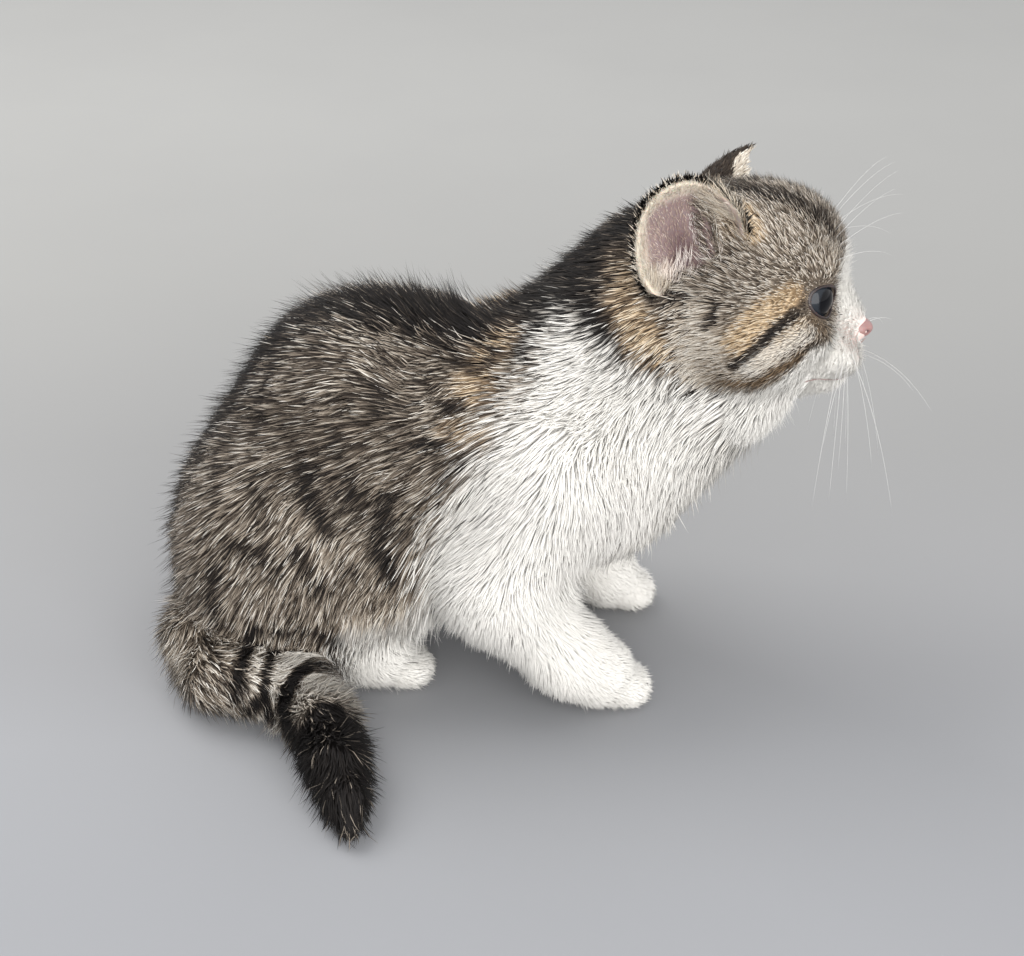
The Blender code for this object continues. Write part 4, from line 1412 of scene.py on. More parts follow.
def modify(obj: bpy.types.Object, kind: str, **settings: object) -> None:
    """Applies a modifier to a piece.

    Args:
        obj: The piece.
        kind: The modifier's type.
        settings: The modifier's settings.
    """
    select_only(obj)
    modifier = obj.modifiers.new(kind, kind)
    for name, setting in settings.items():
        setattr(modifier, name, setting)
    bpy.ops.object.modifier_apply(modifier=modifier.name)


def take_points(mesh: bpy.types.Mesh) -> np.ndarray:
    """A mesh's places.

    Args:
        mesh: The mesh.

    Returns:
        One row for each vertex.
    """
    flat = np.empty(len(mesh.vertices) * 3)
    mesh.vertices.foreach_get("co", flat)
    return flat.reshape(-1, 3)


def put_points(mesh: bpy.types.Mesh, points: np.ndarray) -> None:
    """Moves a mesh's vertices to points, one row for each."""
    mesh.vertices.foreach_set("co", points.astype(np.float32).ravel())
    mesh.update()


def add_attribute(mesh: bpy.types.Mesh, name: str, values: np.ndarray) -> None:
    """Stores one number or one colour for each vertex.

    Args:
        mesh: The mesh.
        name: The attribute's name.
        values: One number, or three, for each vertex.
    """
    if values.ndim == 1:
        mesh.attributes.new(name, "FLOAT", "POINT").data.foreach_set("value", values.astype(np.float32))
        return
    rows = np.hstack((values, np.ones((len(values), 1)))).astype(np.float32)
    mesh.attributes.new(name, "FLOAT_COLOR", "POINT").data.foreach_set("color", rows.ravel())


@contextmanager
def edited(obj: bpy.types.Object) -> Iterator[bmesh.types.BMesh]:
    """Opens a piece's mesh to change it, and puts it back.

    Args:
        obj: The piece.

    Yields:
        The open mesh.
    """
    mesh = bmesh.new()
    mesh.from_mesh(obj.data)
    yield mesh
    mesh.to_mesh(obj.data)
    mesh.free()


def face_out(obj: bpy.types.Object) -> None:
    """Turns a closed piece's faces outwards and shades it smooth.

    Args:
        obj: The piece.
    """
    with edited(obj) as mesh:
        bmesh.ops.remove_doubles(mesh, verts=mesh.verts, dist=1e-7)
        bmesh.ops.recalc_face_normals(mesh, faces=mesh.faces)
    obj.data.shade_smooth()


def triangulate(obj: bpy.types.Object) -> None:
    """Splits a piece's faces into triangles."""
    with edited(obj) as mesh:
        bmesh.ops.triangulate(mesh, faces=mesh.faces)


def unwrap(obj: bpy.types.Object) -> None:
    """Lays a piece's faces out flat in a map of their own.

    Args:
        obj: The piece.
    """
    select_only(obj)
    while obj.data.uv_layers:
        obj.data.uv_layers.remove(obj.data.uv_layers[0])
    obj.data.uv_layers.new(name="OFBake")
    bpy.ops.object.mode_set(mode="EDIT")
    bpy.ops.mesh.select_all(action="SELECT")
    bpy.ops.uv.smart_project(angle_limit=math.radians(66), island_margin=0.002)
    bpy.ops.object.mode_set(mode="OBJECT")


def finish_piece(
    obj: bpy.types.Object,
    name: str,
    material: bpy.types.Material,
    stands_for: tuple[str, ...] = (),
) -> None:
    """Names a piece, gives it its finish and slot, moves it to the solids' place and sets it on the body.

    Args:
        obj: The piece.
        name: Its name.
        material: Its finish.
        stands_for: The nodes that it replaces.
    """
    obj.name = name
    obj.data.name = name
    obj.data.transform(Matrix.Translation(ORIGIN_SHIFT))
    obj.data.materials.clear()
    obj.data.materials.append(material)
    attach(obj, "root")
    if stands_for:
        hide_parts(*stands_for)
    LOG.info("%s: %d faces", name, len(obj.data.polygons))


@dataclass
class Eye:
    """One eye: the ball, and the dark rim of its lids."""

    side: Side
    centre: Triple = (0.0152, 0.0130, -0.0052)
    radius: float = 0.0076
    outward: float = math.radians(31)
    slant: float = math.radians(-18)
    lid_radius: float = 0.0090
    opening: Triple = (0.0062, 0.0084, 0.0048)
    opening_ahead: float = 0.0085
    rim: float = 0.00050
    bulge: float = 0.045
    bulge_reach: float = math.radians(48)
    socket_gap: float = 0.0002

    def frame(self) -> Matrix:
        """The eye's place and turn.

        Returns:
            The eye's frame, whose first axis is the way it looks.
        """
        sign = self.side.value
        inward = Euler((0, 0, sign * self.outward)).to_matrix()
        slant = Euler((-sign * self.slant, 0, 0)).to_matrix()
        centre = Vector((self.centre[0], sign * self.centre[1], self.centre[2]))
        return head_frame() @ Matrix.Translation(centre) @ (inward @ slant).to_4x4()

    def local(self, points: np.ndarray) -> np.ndarray:
        """Places, one a row, seen from the eye."""
        return seen_from(self.frame(), points)

    def in_opening(self, points: np.ndarray, spare: float) -> np.ndarray:
        """Which places would stand in the eye's opening.

        Args:
            points: Places, one a row.
            spare: How much wider than the opening counts.

        Returns:
            True for each place in it.
        """
        local = self.local(points)
        seen = local - np.array((self.opening_ahead, 0, 0))
        egg = np.linalg.norm(seen / (np.array(self.opening) + spare), axis=1) < 1
        ball = np.linalg.norm(local, axis=1) < self.lid_radius - 0.0011
        return egg | ball

    def cutters(self) -> list[bpy.types.Object]:
        """The solids that open the skin for the eye.

        Returns:
            The ball's socket and the opening of the lids.
        """
        socket = add_ball(32, 20, self.radius + self.socket_gap)
        socket.data.transform(self.frame())
        opening = add_ball(48, 24)
        place = Matrix.Translation((self.opening_ahead, 0, 0)) @ Matrix.Diagonal((*self.opening, 1))
        opening.data.transform(self.frame() @ place)
        return [socket, opening]

    def build_ball(self, finish: bpy.types.Material) -> None:
        """The eyeball with its clear bulge in front.

        Args:
            finish: The eye's finish.
        """
        obj = add_ball(64, 40, self.radius)
        obj.data.transform(Matrix.Rotation(math.pi / 2, 4, "Y"))
        points = take_points(obj.data)
        turn = np.arccos(np.clip(points[:, 0] / self.radius, -1, 1))
        bulge = self.bulge * np.clip(1 - (turn / self.bulge_reach) ** 2, 0, 1)
        put_points(obj.data, points * (1 + bulge)[:, None])
        add_attribute(obj.data, "gaze", turn / (math.pi / 2))
        obj.data.transform(self.frame())
        obj.data.shade_smooth()
        node = self.side.word + "_eye"
        finish_piece(obj, node + "ball", finish, (node,))

    def build_lid(self, finish: bpy.types.Material) -> None:
        """The dark, hairless edge of the lids around the opening.

        Args:
            finish: The lid's finish.
        """
        bpy.ops.mesh.primitive_torus_add(
            major_segments=64, minor_segments=8, major_radius=1.0, minor_radius=0.1
        )
        obj = bpy.context.active_object
        points = take_points(obj.data)
        angle = np.arctan2(points[:, 1], points[:, 0])
        around = np.hypot(points[:, 0], points[:, 1]) - 1.0
        lift = points[:, 2]
        low, high = np.zeros(len(points)), np.full(len(points), 0.0085)
        ahead, (deep, wide, tall) = self.opening_ahead, self.opening
        for _ in range(30):
            reach = (low + high) / 2
            forward = np.sqrt(np.maximum(self.lid_radius**2 - reach**2, 0))
            egg = (
                ((forward - ahead) / deep) ** 2
                + (reach * np.cos(angle) / wide) ** 2
                + (reach * np.sin(angle) / tall) ** 2
            )
            low, high = np.where(egg < 1, reach, low), np.where(egg < 1, high, reach)
        reach = low + around * self.rim * 9
        forward = np.sqrt(np.maximum(self.lid_radius**2 - reach**2, 0)) - 0.0006 + lift * self.rim * 12
        put_points(obj.data, np.stack((forward, reach * np.cos(angle), reach * np.sin(angle)), axis=1))
        obj.data.transform(self.frame())
        face_out(obj)
        finish_piece(obj, self.side.word + "_lids", finish)


@dataclass
class Skin:
    """The kitten's bare body in one closed piece, inside the coat."""

    flesh: Flesh
    coarse_voxel: float = 0.0030
    fine_voxel: float = 0.00135
    fine_from: float = 0.004

    def settle(self, obj: bpy.types.Object, rounds: int) -> None:
        """Evens out the faces and lays them on the flesh.

        Args:
            obj: The piece.
            rounds: How often.
        """
        mesh = obj.data
        edges = np.empty(len(mesh.edges) * 2, int)
        mesh.edges.foreach_get("vertices", edges)
        edges = edges.reshape(-1, 2)
        points = take_points(mesh)
        count = np.bincount(edges.ravel(), minlength=len(points))[:, None]
        for _ in range(rounds):
            total = np.zeros_like(points)
            for axis in range(3):
                for near, far in ((0, 1), (1, 0)):
                    total[:, axis] += np.bincount(
                        edges[:, near], weights=points[edges[:, far], axis], minlength=len(points)
                    )
            points = self.flesh.settle(points + 0.5 * (total / count - points))
            points[:, 2] = np.maximum(points[:, 2], SKIN_FLOOR)
        put_points(mesh, points)

    def refine_face(self, obj: bpy.types.Object) -> None:
        """Halves the faces on the front of the head.

        Args:
            obj: The skin.
        """
        turn = head_frame().inverted()
        with edited(obj) as mesh:
            middles = ((edge, (edge.verts[0].co + edge.verts[1].co) / 2) for edge in mesh.edges)
            near = [edge for edge, middle in middles if (turn @ middle).x > self.fine_from]
            bmesh.ops.subdivide_edges(mesh, edges=near, cuts=1, use_grid_fill=True)
            bmesh.ops.triangulate(mesh, faces=[face for face in mesh.faces if len(face.verts) > 4])

    def open_eyes(self, obj: bpy.types.Object) -> None:
        """Cuts the openings for the eyes.

        Args:
            obj: The skin.
        """
        for side in Side:
            for cutter in Eye(side).cutters():
                modify(obj, "BOOLEAN", operation="DIFFERENCE", solver="MANIFOLD", object=cutter)
                bpy.data.objects.remove(cutter)

    def build(self) -> bpy.types.Object:
        """Models the skin.

        Returns:
            The piece, still without its finish.
        """
        blanks = [mass.blank() for mass in self.flesh.masses]
        bpy.ops.object.select_all(action="DESELECT")
        for blank in blanks:
            blank.select_set(True)
        bpy.context.view_layer.objects.active = blanks[0]
        bpy.ops.object.join()
        obj = bpy.context.active_object
        for voxel in (self.coarse_voxel, self.fine_voxel):
            modify(obj, "REMESH", mode="VOXEL", voxel_size=voxel)
            self.settle(obj, 3)
        self.refine_face(obj)
        self.settle(obj, 2)
        self.open_eyes(obj)
        triangulate(obj)
        unwrap(obj)
        obj.data.shade_smooth()
        return obj


@dataclass
class Roots:
    """Where tufts grow: their places, the way out, their places on the map and their kinds."""

    places: np.ndarray
    outward: np.ndarray
    spots: np.ndarray
    kinds: np.ndarray

    def taken(self, which: np.ndarray) -> "Roots":
        """Only the roots at which."""
        return Roots(self.places[which], self.outward[which], self.spots[which], self.kinds[which])


def scatter(obj: bpy.types.Object, per_face: np.ndarray, chance: np.random.Generator) -> Roots:
    """Random places on a triangulated piece.

    Args:
        obj: The piece, with its map.
        per_face: How many places each square metre of each triangle gets.
        chance: The random numbers.

    Returns:
        The places, with each one's triangle as its kind.
    """
    mesh = obj.data
    mesh.calc_loop_triangles()
    count = len(mesh.loop_triangles)
    corners, loops = np.empty(count * 3, int), np.empty(count * 3, int)
    mesh.loop_triangles.foreach_get("vertices", corners)
    mesh.loop_triangles.foreach_get("loops", loops)
    points = take_points(mesh)[corners].reshape(-1, 3, 3)
    layer = np.zeros(len(mesh.loops) * 2)
    mesh.uv_layers[0].data.foreach_get("uv", layer)
    spots = layer.reshape(-1, 2)[loops].reshape(-1, 3, 2)
    normal = np.cross(points[:, 1] - points[:, 0], points[:, 2] - points[:, 0])
    area = np.linalg.norm(normal, axis=1) / 2
    number = np.floor(area * per_face + chance.random(count)).astype(int)
    owner = np.repeat(np.arange(count), number)
    first, last = chance.random(len(owner)), chance.random(len(owner))
    over = first + last > 1
    first[over], last[over] = 1 - first[over], 1 - last[over]
    shares = np.stack((1 - first - last, first, last), axis=1)[:, :, None]
    return Roots(
        (points[owner] * shares).sum(axis=1), unit(normal)[owner], (spots[owner] * shares).sum(axis=1), owner
    )


@dataclass
class Tufts:
    """Many thin closed tufts, as one mesh."""

    paths: np.ndarray
    outward: np.ndarray
    width: np.ndarray
    taper: tuple[float, ...]
    spots: np.ndarray
    patch: float = 0.003
    height: float = 0.30
    softness: float = 0.7

    def build(self, name: str) -> bpy.types.Object:
        """Makes the mesh.

        Args:
            name: The new object's name.

        Returns:
            The object.
        """
        number, rings = self.paths.shape[0], self.paths.shape[1] - 2
        ahead = unit(self.paths[:, 2:] - self.paths[:, :-2])
        across = unit(np.cross(self.outward[:, 1:-1], ahead))
        above = unit(np.cross(ahead, across))
        half = (self.width[:, None] * np.array(self.taper)[None, :rings] / 2)[:, :, None]
        middle = self.paths[:, 1:-1]
        aside, up = across * half, above * half * 2 * self.height
        sides = np.stack((middle + aside, middle + up, middle - aside), axis=2).reshape(number, -1, 3)
        points = np.concatenate((self.paths[:, :1], sides, self.paths[:, -1:]), axis=1)
        points[:, :, 2] = np.maximum(points[:, :, 2], TUFT_FLOOR)
        size = self.corners(rings + 2)
        faces = [(1 + (k + 1) % 3, 1 + k, 0) for k in range(3)]
        for ring in range(rings - 1):
            low, high = 3 * ring + 1, 3 * ring + 4
            faces += [(low + k, low + (k + 1) % 3, high + (k + 1) % 3, high + k) for k in range(3)]
        low = 3 * (rings - 1) + 1
        faces += [(low + k, low + (k + 1) % 3, size - 1) for k in range(3)]
        lengths = np.array([len(face) for face in faces])
        pattern = np.concatenate(faces)
        loops = (np.arange(number)[:, None] * size + pattern[None]).ravel()
        starts = np.concatenate(((0,), np.cumsum(np.tile(lengths, number))[:-1]))
        mesh = bpy.data.meshes.new(name)
        mesh.vertices.add(number * size)
        mesh.vertices.foreach_set("co", points.astype(np.float32).ravel())
        mesh.loops.add(len(loops))
        mesh.loops.foreach_set("vertex_index", loops.astype(np.int32))
        mesh.polygons.add(len(starts))
        mesh.polygons.foreach_set("loop_start", starts.astype(np.int32))
        mesh.update(calc_edges=True)
        self.lay_on_map(mesh, rings, loops)
        mesh.shade_smooth()
        normals = np.empty(number * size * 3)
        mesh.vertex_normals.foreach_get("vector", normals)
        out = np.repeat(self.outward[:, 1:-1], 3, axis=1)
        out = np.concatenate((self.outward[:, :1], out, self.outward[:, -1:]), axis=1)
        out = out.reshape(-1, 3)
        soft = unit((1 - self.softness) * normals.reshape(-1, 3) + self.softness * out)
        mesh.normals_split_custom_set_from_vertices(soft)
        return add_object(name, mesh)

    @staticmethod
    def corners(steps: int) -> int:
        """How many corners a tuft with so many places along it has."""
        return 3 * steps - 4

    @staticmethod
    def triangles(steps: int) -> int:
        """How many triangles a tuft with so many places along it has."""
        return 6 * (steps - 2)

    def lay_on_map(self, mesh: bpy.types.Mesh, rings: int, loops: np.ndarray) -> None:
        """Gives each tuft its small patch of the skin's map, at its root.

        Args:
            mesh: The tufts' mesh.
            rings: How many rings each has.
            loops: The vertex of each corner.
        """
        shares = np.repeat(np.arange(1, rings + 1) / (rings + 1), 3)
        along = np.concatenate(((0.0,), shares, (1.0,))) - 0.5
        aside = np.concatenate(((0.0,), np.tile((-0.5, 0.0, 0.5), rings), (0.0,)))
        offset = np.stack((aside, along), axis=1) * self.patch
        spots = np.clip(self.spots[:, None, :] + offset[None], 0.0, 1.0).reshape(-1, 2)
        layer = mesh.uv_layers.new(name="OFBake")
        layer.data.foreach_set("uv", spots[loops].astype(np.float32).ravel())


class Coat:
    """The plush hair over the whole body."""

    most_triangles = 190000
    # The share of tufts that lead a wisp, and how near the others that follow them are
    leading = 0.09
    wisp_reach = 0.0045
    # The ranges in which tufts of one kind differ, as shares of its length and width
    lengths = (0.78, 1.14)
    widths = (0.75, 1.2)
    # How much longer, thinner and higher a stray hair is
    stray_length = 1.15
    stray_width = 0.62
    stray_rise = (0.12, 0.52)
    # How deep roots sit, how uneven the coat is, and how far a step is set right at most
    root_depth = 0.0003
    unevenness = 0.0006
    most_correction = 0.003
    # How much each mark lightens the hair
    lightening = {Mark.PALE: 0.30, Mark.GINGER: 0.18, Mark.DARK: -0.62}

    def __init__(self, flesh: Flesh, markings: Markings, skin: bpy.types.Object) -> None:
        """Plants the roots.

        Args:
            flesh: The body.
            markings: The coat's marks.
            skin: The skin piece that it grows from.
        """
        self.flesh = flesh
        self.markings = markings
        self.chance = np.random.default_rng(SEED)
        self.kinds = sorted({mass.coat for mass in flesh.masses}, key=lambda kind: kind.name)
        self.mass_kind = np.array([self.kinds.index(mass.coat) for mass in flesh.masses])
        mesh = skin.data
        centres = np.empty(len(mesh.polygons) * 3)
        mesh.polygons.foreach_get("center", centres)
        kinds = self.mass_kind[self.flesh.coat(centres.reshape(-1, 3))[1]]
        density = np.array([kind.density for kind in self.kinds])[kinds] * 1e6
        self.roots = scatter(skin, density, self.chance)
        self.roots.kinds = kinds[self.roots.kinds]
        self.ears = [Ear(side) for side in Side]
        self.eyes = [Eye(side) for side in Side]
        self.drop(self.bare(self.roots.places))

    def drop(self, which: np.ndarray) -> None:
        """Removes the roots for which is true."""
        self.roots = self.roots.taken(~which)

    def bare(self, places: np.ndarray) -> np.ndarray:
        """Where no hair grows: the eyes, the nose leather and the line of the mouth.

        Args:
            places: The roots' places.

        Returns:
            True for each bare place.
        """
        gone = np.zeros(len(places), bool)
        for eye in self.eyes:
            gone |= eye.in_opening(places, 0.0004)
        gone |= Muzzle().bare(places)
        return gone

    def colours(
        self, places: np.ndarray, kinds: np.ndarray, grain: np.ndarray
    ) -> tuple[np.ndarray, np.ndarray]:
        """Marks and shade of hair at each place.

        Args:
            places: Where each tuft shows.
            kinds: The index of its coat.
            grain: One random number for each tuft.

        Returns:
            Rows of ginger, white and pink, and a shade from dark to pale.
        """
        names = np.array([kind.name for kind in self.kinds])[kinds]
        found = self.markings.read(places, names, grain)
        base = np.where(np.isin(names, ("skull", "cheek", "face")), 0.75, 0.55)
        spread = np.where(names == "skull", 0.32, np.where(np.isin(names, ("cheek", "face")), 0.24, 0.28))
        shade = base + spread * grain + 0.05 * waves(places, 0.012, 3)
        shade += sum(share * found[mark] for mark, share in self.lightening.items())
        tail = (names == "tail") & self.markings.ringed(places)
        pale_hair = 0.66 * (grain > 1.6)
        dark_hair = np.maximum(0.05 + 0.05 * grain, pale_hair)
        brush = (0.95 + 0.07 * grain) * (1 - found[Mark.DARK]) + dark_hair * found[Mark.DARK]
        shade = np.clip(np.where(tail, brush, shade), 0.02, 1.0)
        ginger = 0.08 + found[Mark.GINGER] + 0.06 * found[Mark.PALE]
        ginger = np.clip(np.where(tail, 0.0, ginger), 0, 1)
        ginger = np.maximum(ginger, 0.8 * found[Mark.BROWN]) * (1 - 0.85 * found[Mark.DARK])
        shade = shade * (1 - found[Mark.BROWN]) + found[Mark.BROWN] * np.clip(shade - 0.22, 0.1, 0.5)
        white = found[Mark.WHITE]
        shade = np.where(white > 0.7, np.where(names == "face", 0.56, 0.92) + 0.08 * grain, shade)
        apart = [np.linalg.norm(places - place, axis=1) for place in self.markings.freckles]
        spots = np.min(apart, axis=0) < FRECKLE_RADIUS
        white = np.where(spots, 0.25, white)
        ginger = np.where(spots, 0.5, ginger)
        shade = np.where(spots, 0.35, shade)
        return np.stack((ginger, white, np.zeros(len(places))), axis=1), np.clip(shade, 0.0, 1.0)

    def paths(self, roots: Roots, kind: CoatKind) -> tuple[np.ndarray, np.ndarray, np.ndarray]:
        """The line of each tuft, which lies along the body and rises to the coat's surface.

        Args:
            roots: The roots of one kind of coat.
            kind: The coat.

        Returns:
            The places along each tuft, the way out there, and whether it strays.
        """
        number = len(roots.places)
        level, slope = self.flesh.slope(roots.places)
        outward = unit(slope)
        lie = self.flesh.coat(roots.places)[0]
        way = along_surface(lie, outward)
        wander = waves(roots.places, 0.014, 11) + 0.7 * self.chance.normal(size=number)
        angle = np.radians(kind.wander * wander)
        way = way * np.cos(angle)[:, None] + np.cross(outward, way) * np.sin(angle)[:, None]
        stray = self.chance.random(number) < kind.stray
        length = kind.length * MM * self.chance.uniform(*self.lengths, number)
        length *= np.where(stray, self.stray_length, 1.0)
        if kind.name in ("skull", "cheek"):
            behind = Muzzle.local(roots.places)[:, 0]
            length = length * (1 + 0.9 * smooth_step(-0.002, -0.016, behind))
        goal = kind.proud * MM + self.unevenness * self.chance.normal(size=number)
        goal += stray * self.chance.uniform(*self.stray_rise, number) * kind.length * MM
        point, start = roots.places - outward * self.root_depth, level.copy()
        places, ways_out = [point], [outward]
        for before, after in zip(kind.steps, kind.steps[1:]):
            target = start + (goal - start) * after**1.15
            rise = target - level
            span = length * (after - before)
            forward = np.sqrt(np.maximum(span**2 - rise**2, (0.45 * span) ** 2))
            point = point + way * forward[:, None] + outward * rise[:, None]
            here, slope = self.flesh.slope(point)
            outward = unit(slope)
            missing = np.clip(target - here, -self.most_correction, self.most_correction)
            point = point + outward * missing[:, None]
            way = along_surface(way, outward)
            level = target
            places.append(point)
            ways_out.append(outward)
        return np.stack(places, axis=1), np.stack(ways_out, axis=1), stray

    def gather(self, paths: np.ndarray, kind: CoatKind) -> np.ndarray:
        """Draws the tips of neighbouring tufts together into wisps.

        Args:
            paths: The places along each tuft.
            kind: The coat.

        Returns:
            The gathered places.
        """
        leaders = np.flatnonzero(self.chance.random(len(paths)) < self.leading)
        if len(leaders) < 2:
            return paths
        tree = KDTree(len(leaders))
        for index, leader in enumerate(leaders):
            tree.insert(paths[leader, 0], index)
        tree.balance()
        own = np.array([leaders[tree.find(place)[1]] for place in paths[:, 0]])
        near = np.linalg.norm(paths[:, 0] - paths[own, 0], axis=1) < self.wisp_reach
        pull = kind.clump * near[:, None] * np.array(kind.steps)[None] ** 1.6
        return paths + (paths[own] - paths) * pull[:, :, None]

    def build_kind(self, index: int, finish: bpy.types.Material) -> int:
        """Grows one kind of coat.

        Args:
            index: Which kind.
            finish: The coat's finish.

        Returns:
            How many triangles it has.
        """
        kind = self.kinds[index]
        roots = self.roots.taken(self.roots.kinds == index)
        paths, outward, stray = self.paths(roots, kind)
        paths = self.gather(paths, kind)
        clear = np.ones(len(paths), bool)
        for step in range(1, paths.shape[1]):
            for eye in self.eyes:
                clear &= ~eye.in_opening(paths[:, step], 0.0001)
            for ear in self.ears:
                clear &= ~ear.in_cup(paths[:, step])
        paths, outward, stray, roots = paths[clear], outward[clear], stray[clear], roots.taken(clear)
        marks, shade = self.colour_paths(paths, roots.kinds)
        if kind.name in ("back", "rump", "neck"):
            shade[stray] *= np.where(marks[stray, :, 1] > 0.5, 1.0, 0.35)
        pieces = math.ceil(len(paths) * Tufts.triangles(len(kind.steps)) / self.most_triangles)
        order = np.argsort(roots.places[:, 0], kind="stable")
        total = 0
        for number, part in enumerate(np.array_split(order, pieces)):
            width = kind.width * MM * self.chance.uniform(*self.widths, len(part))
            width *= np.where(stray[part], self.stray_width, 1.0)
            taper = (1.0, 0.72)
            tufts = Tufts(paths[part], outward[part], width, taper, roots.spots[part])
            name = f"coat_{kind.name}" + (f"_{number + 1}" if pieces > 1 else "")
            obj = tufts.build(name)
            along = np.concatenate(((0.0,), np.repeat(kind.steps[1:-1], 3), (1.0,)))
            root, gain = (0.90, 0.12) if kind.name == "tail" else (0.57, 0.47)
            dim = root + gain * np.tile(along, len(part)) ** 1.1
            dim = np.maximum(dim, 0.94 * marks[part, :, 1].ravel())
            add_attribute(obj.data, "marks", marks[part].reshape(-1, 3))
            add_attribute(obj.data, "shade", shade[part].ravel() * dim)
            finish_piece(obj, name, finish)
            total += len(part) * Tufts.triangles(len(kind.steps))
        LOG.info("%s coat: %d tufts, %d triangles", kind.name, len(paths), total)
        return total

    def colour_paths(self, paths: np.ndarray, kinds: np.ndarray) -> tuple[np.ndarray, np.ndarray]:
        """Marks and shade for every corner of each tuft.

        Args:
            paths: The places along each tuft.
            kinds: The index of its coat.

        Returns:
            Rows of marks, and shades, for each tuft's corners in order.
        """
        grain = self.chance.normal(size=len(paths))
        if paths.shape[1] == 3:
            marks, shade = self.colours((paths[:, 1] + paths[:, 2]) / 2, kinds, grain)
            return np.repeat(marks[:, None], 5, axis=1), np.repeat(shade[:, None], 5, axis=1)
        found = [self.colours(paths[:, step], kinds, grain) for step in (1, 2, 3)]
        order = [0] * 4 + [1] * 3 + [2]
        marks = np.stack([found[step][0] for step in order], axis=1)
        return marks, np.stack([found[step][1] for step in order], axis=1)

    def dress_skin(self, skin: bpy.types.Object, finish: bpy.types.Material, nodes: tuple[str, ...]) -> None:
        """Colours the skin like the coat and sets it on the body.

        Args:
            skin: The skin.
            finish: The coat's finish.
            nodes: The nodes that it replaces.
        """
        points = take_points(skin.data)
        kinds = self.mass_kind[self.flesh.coat(points)[1]]
        marks, shade = self.colours(points, kinds, np.zeros(len(points)))
        marks[:, 2] = Muzzle().pinkness(points)
        add_attribute(skin.data, "marks", marks)
        add_attribute(skin.data, "shade", shade * np.maximum(0.6, marks[:, 1]))
        finish_piece(skin, "skin", finish, nodes)

    def build(self, skin: bpy.types.Object, nodes: tuple[str, ...]) -> None:
        """Grows the whole coat.

        Args:
            skin: The skin.
            nodes: The nodes that the skin replaces.
        """
        finish = CoatFinish("coat").build()
        total = sum(self.build_kind(index, finish) for index in range(len(self.kinds)))
        LOG.info("coat: %d triangles in all", total)
        self.dress_skin(skin, CoatFinish("skin", sheen=0.0, roughness=0.75).build(), nodes)


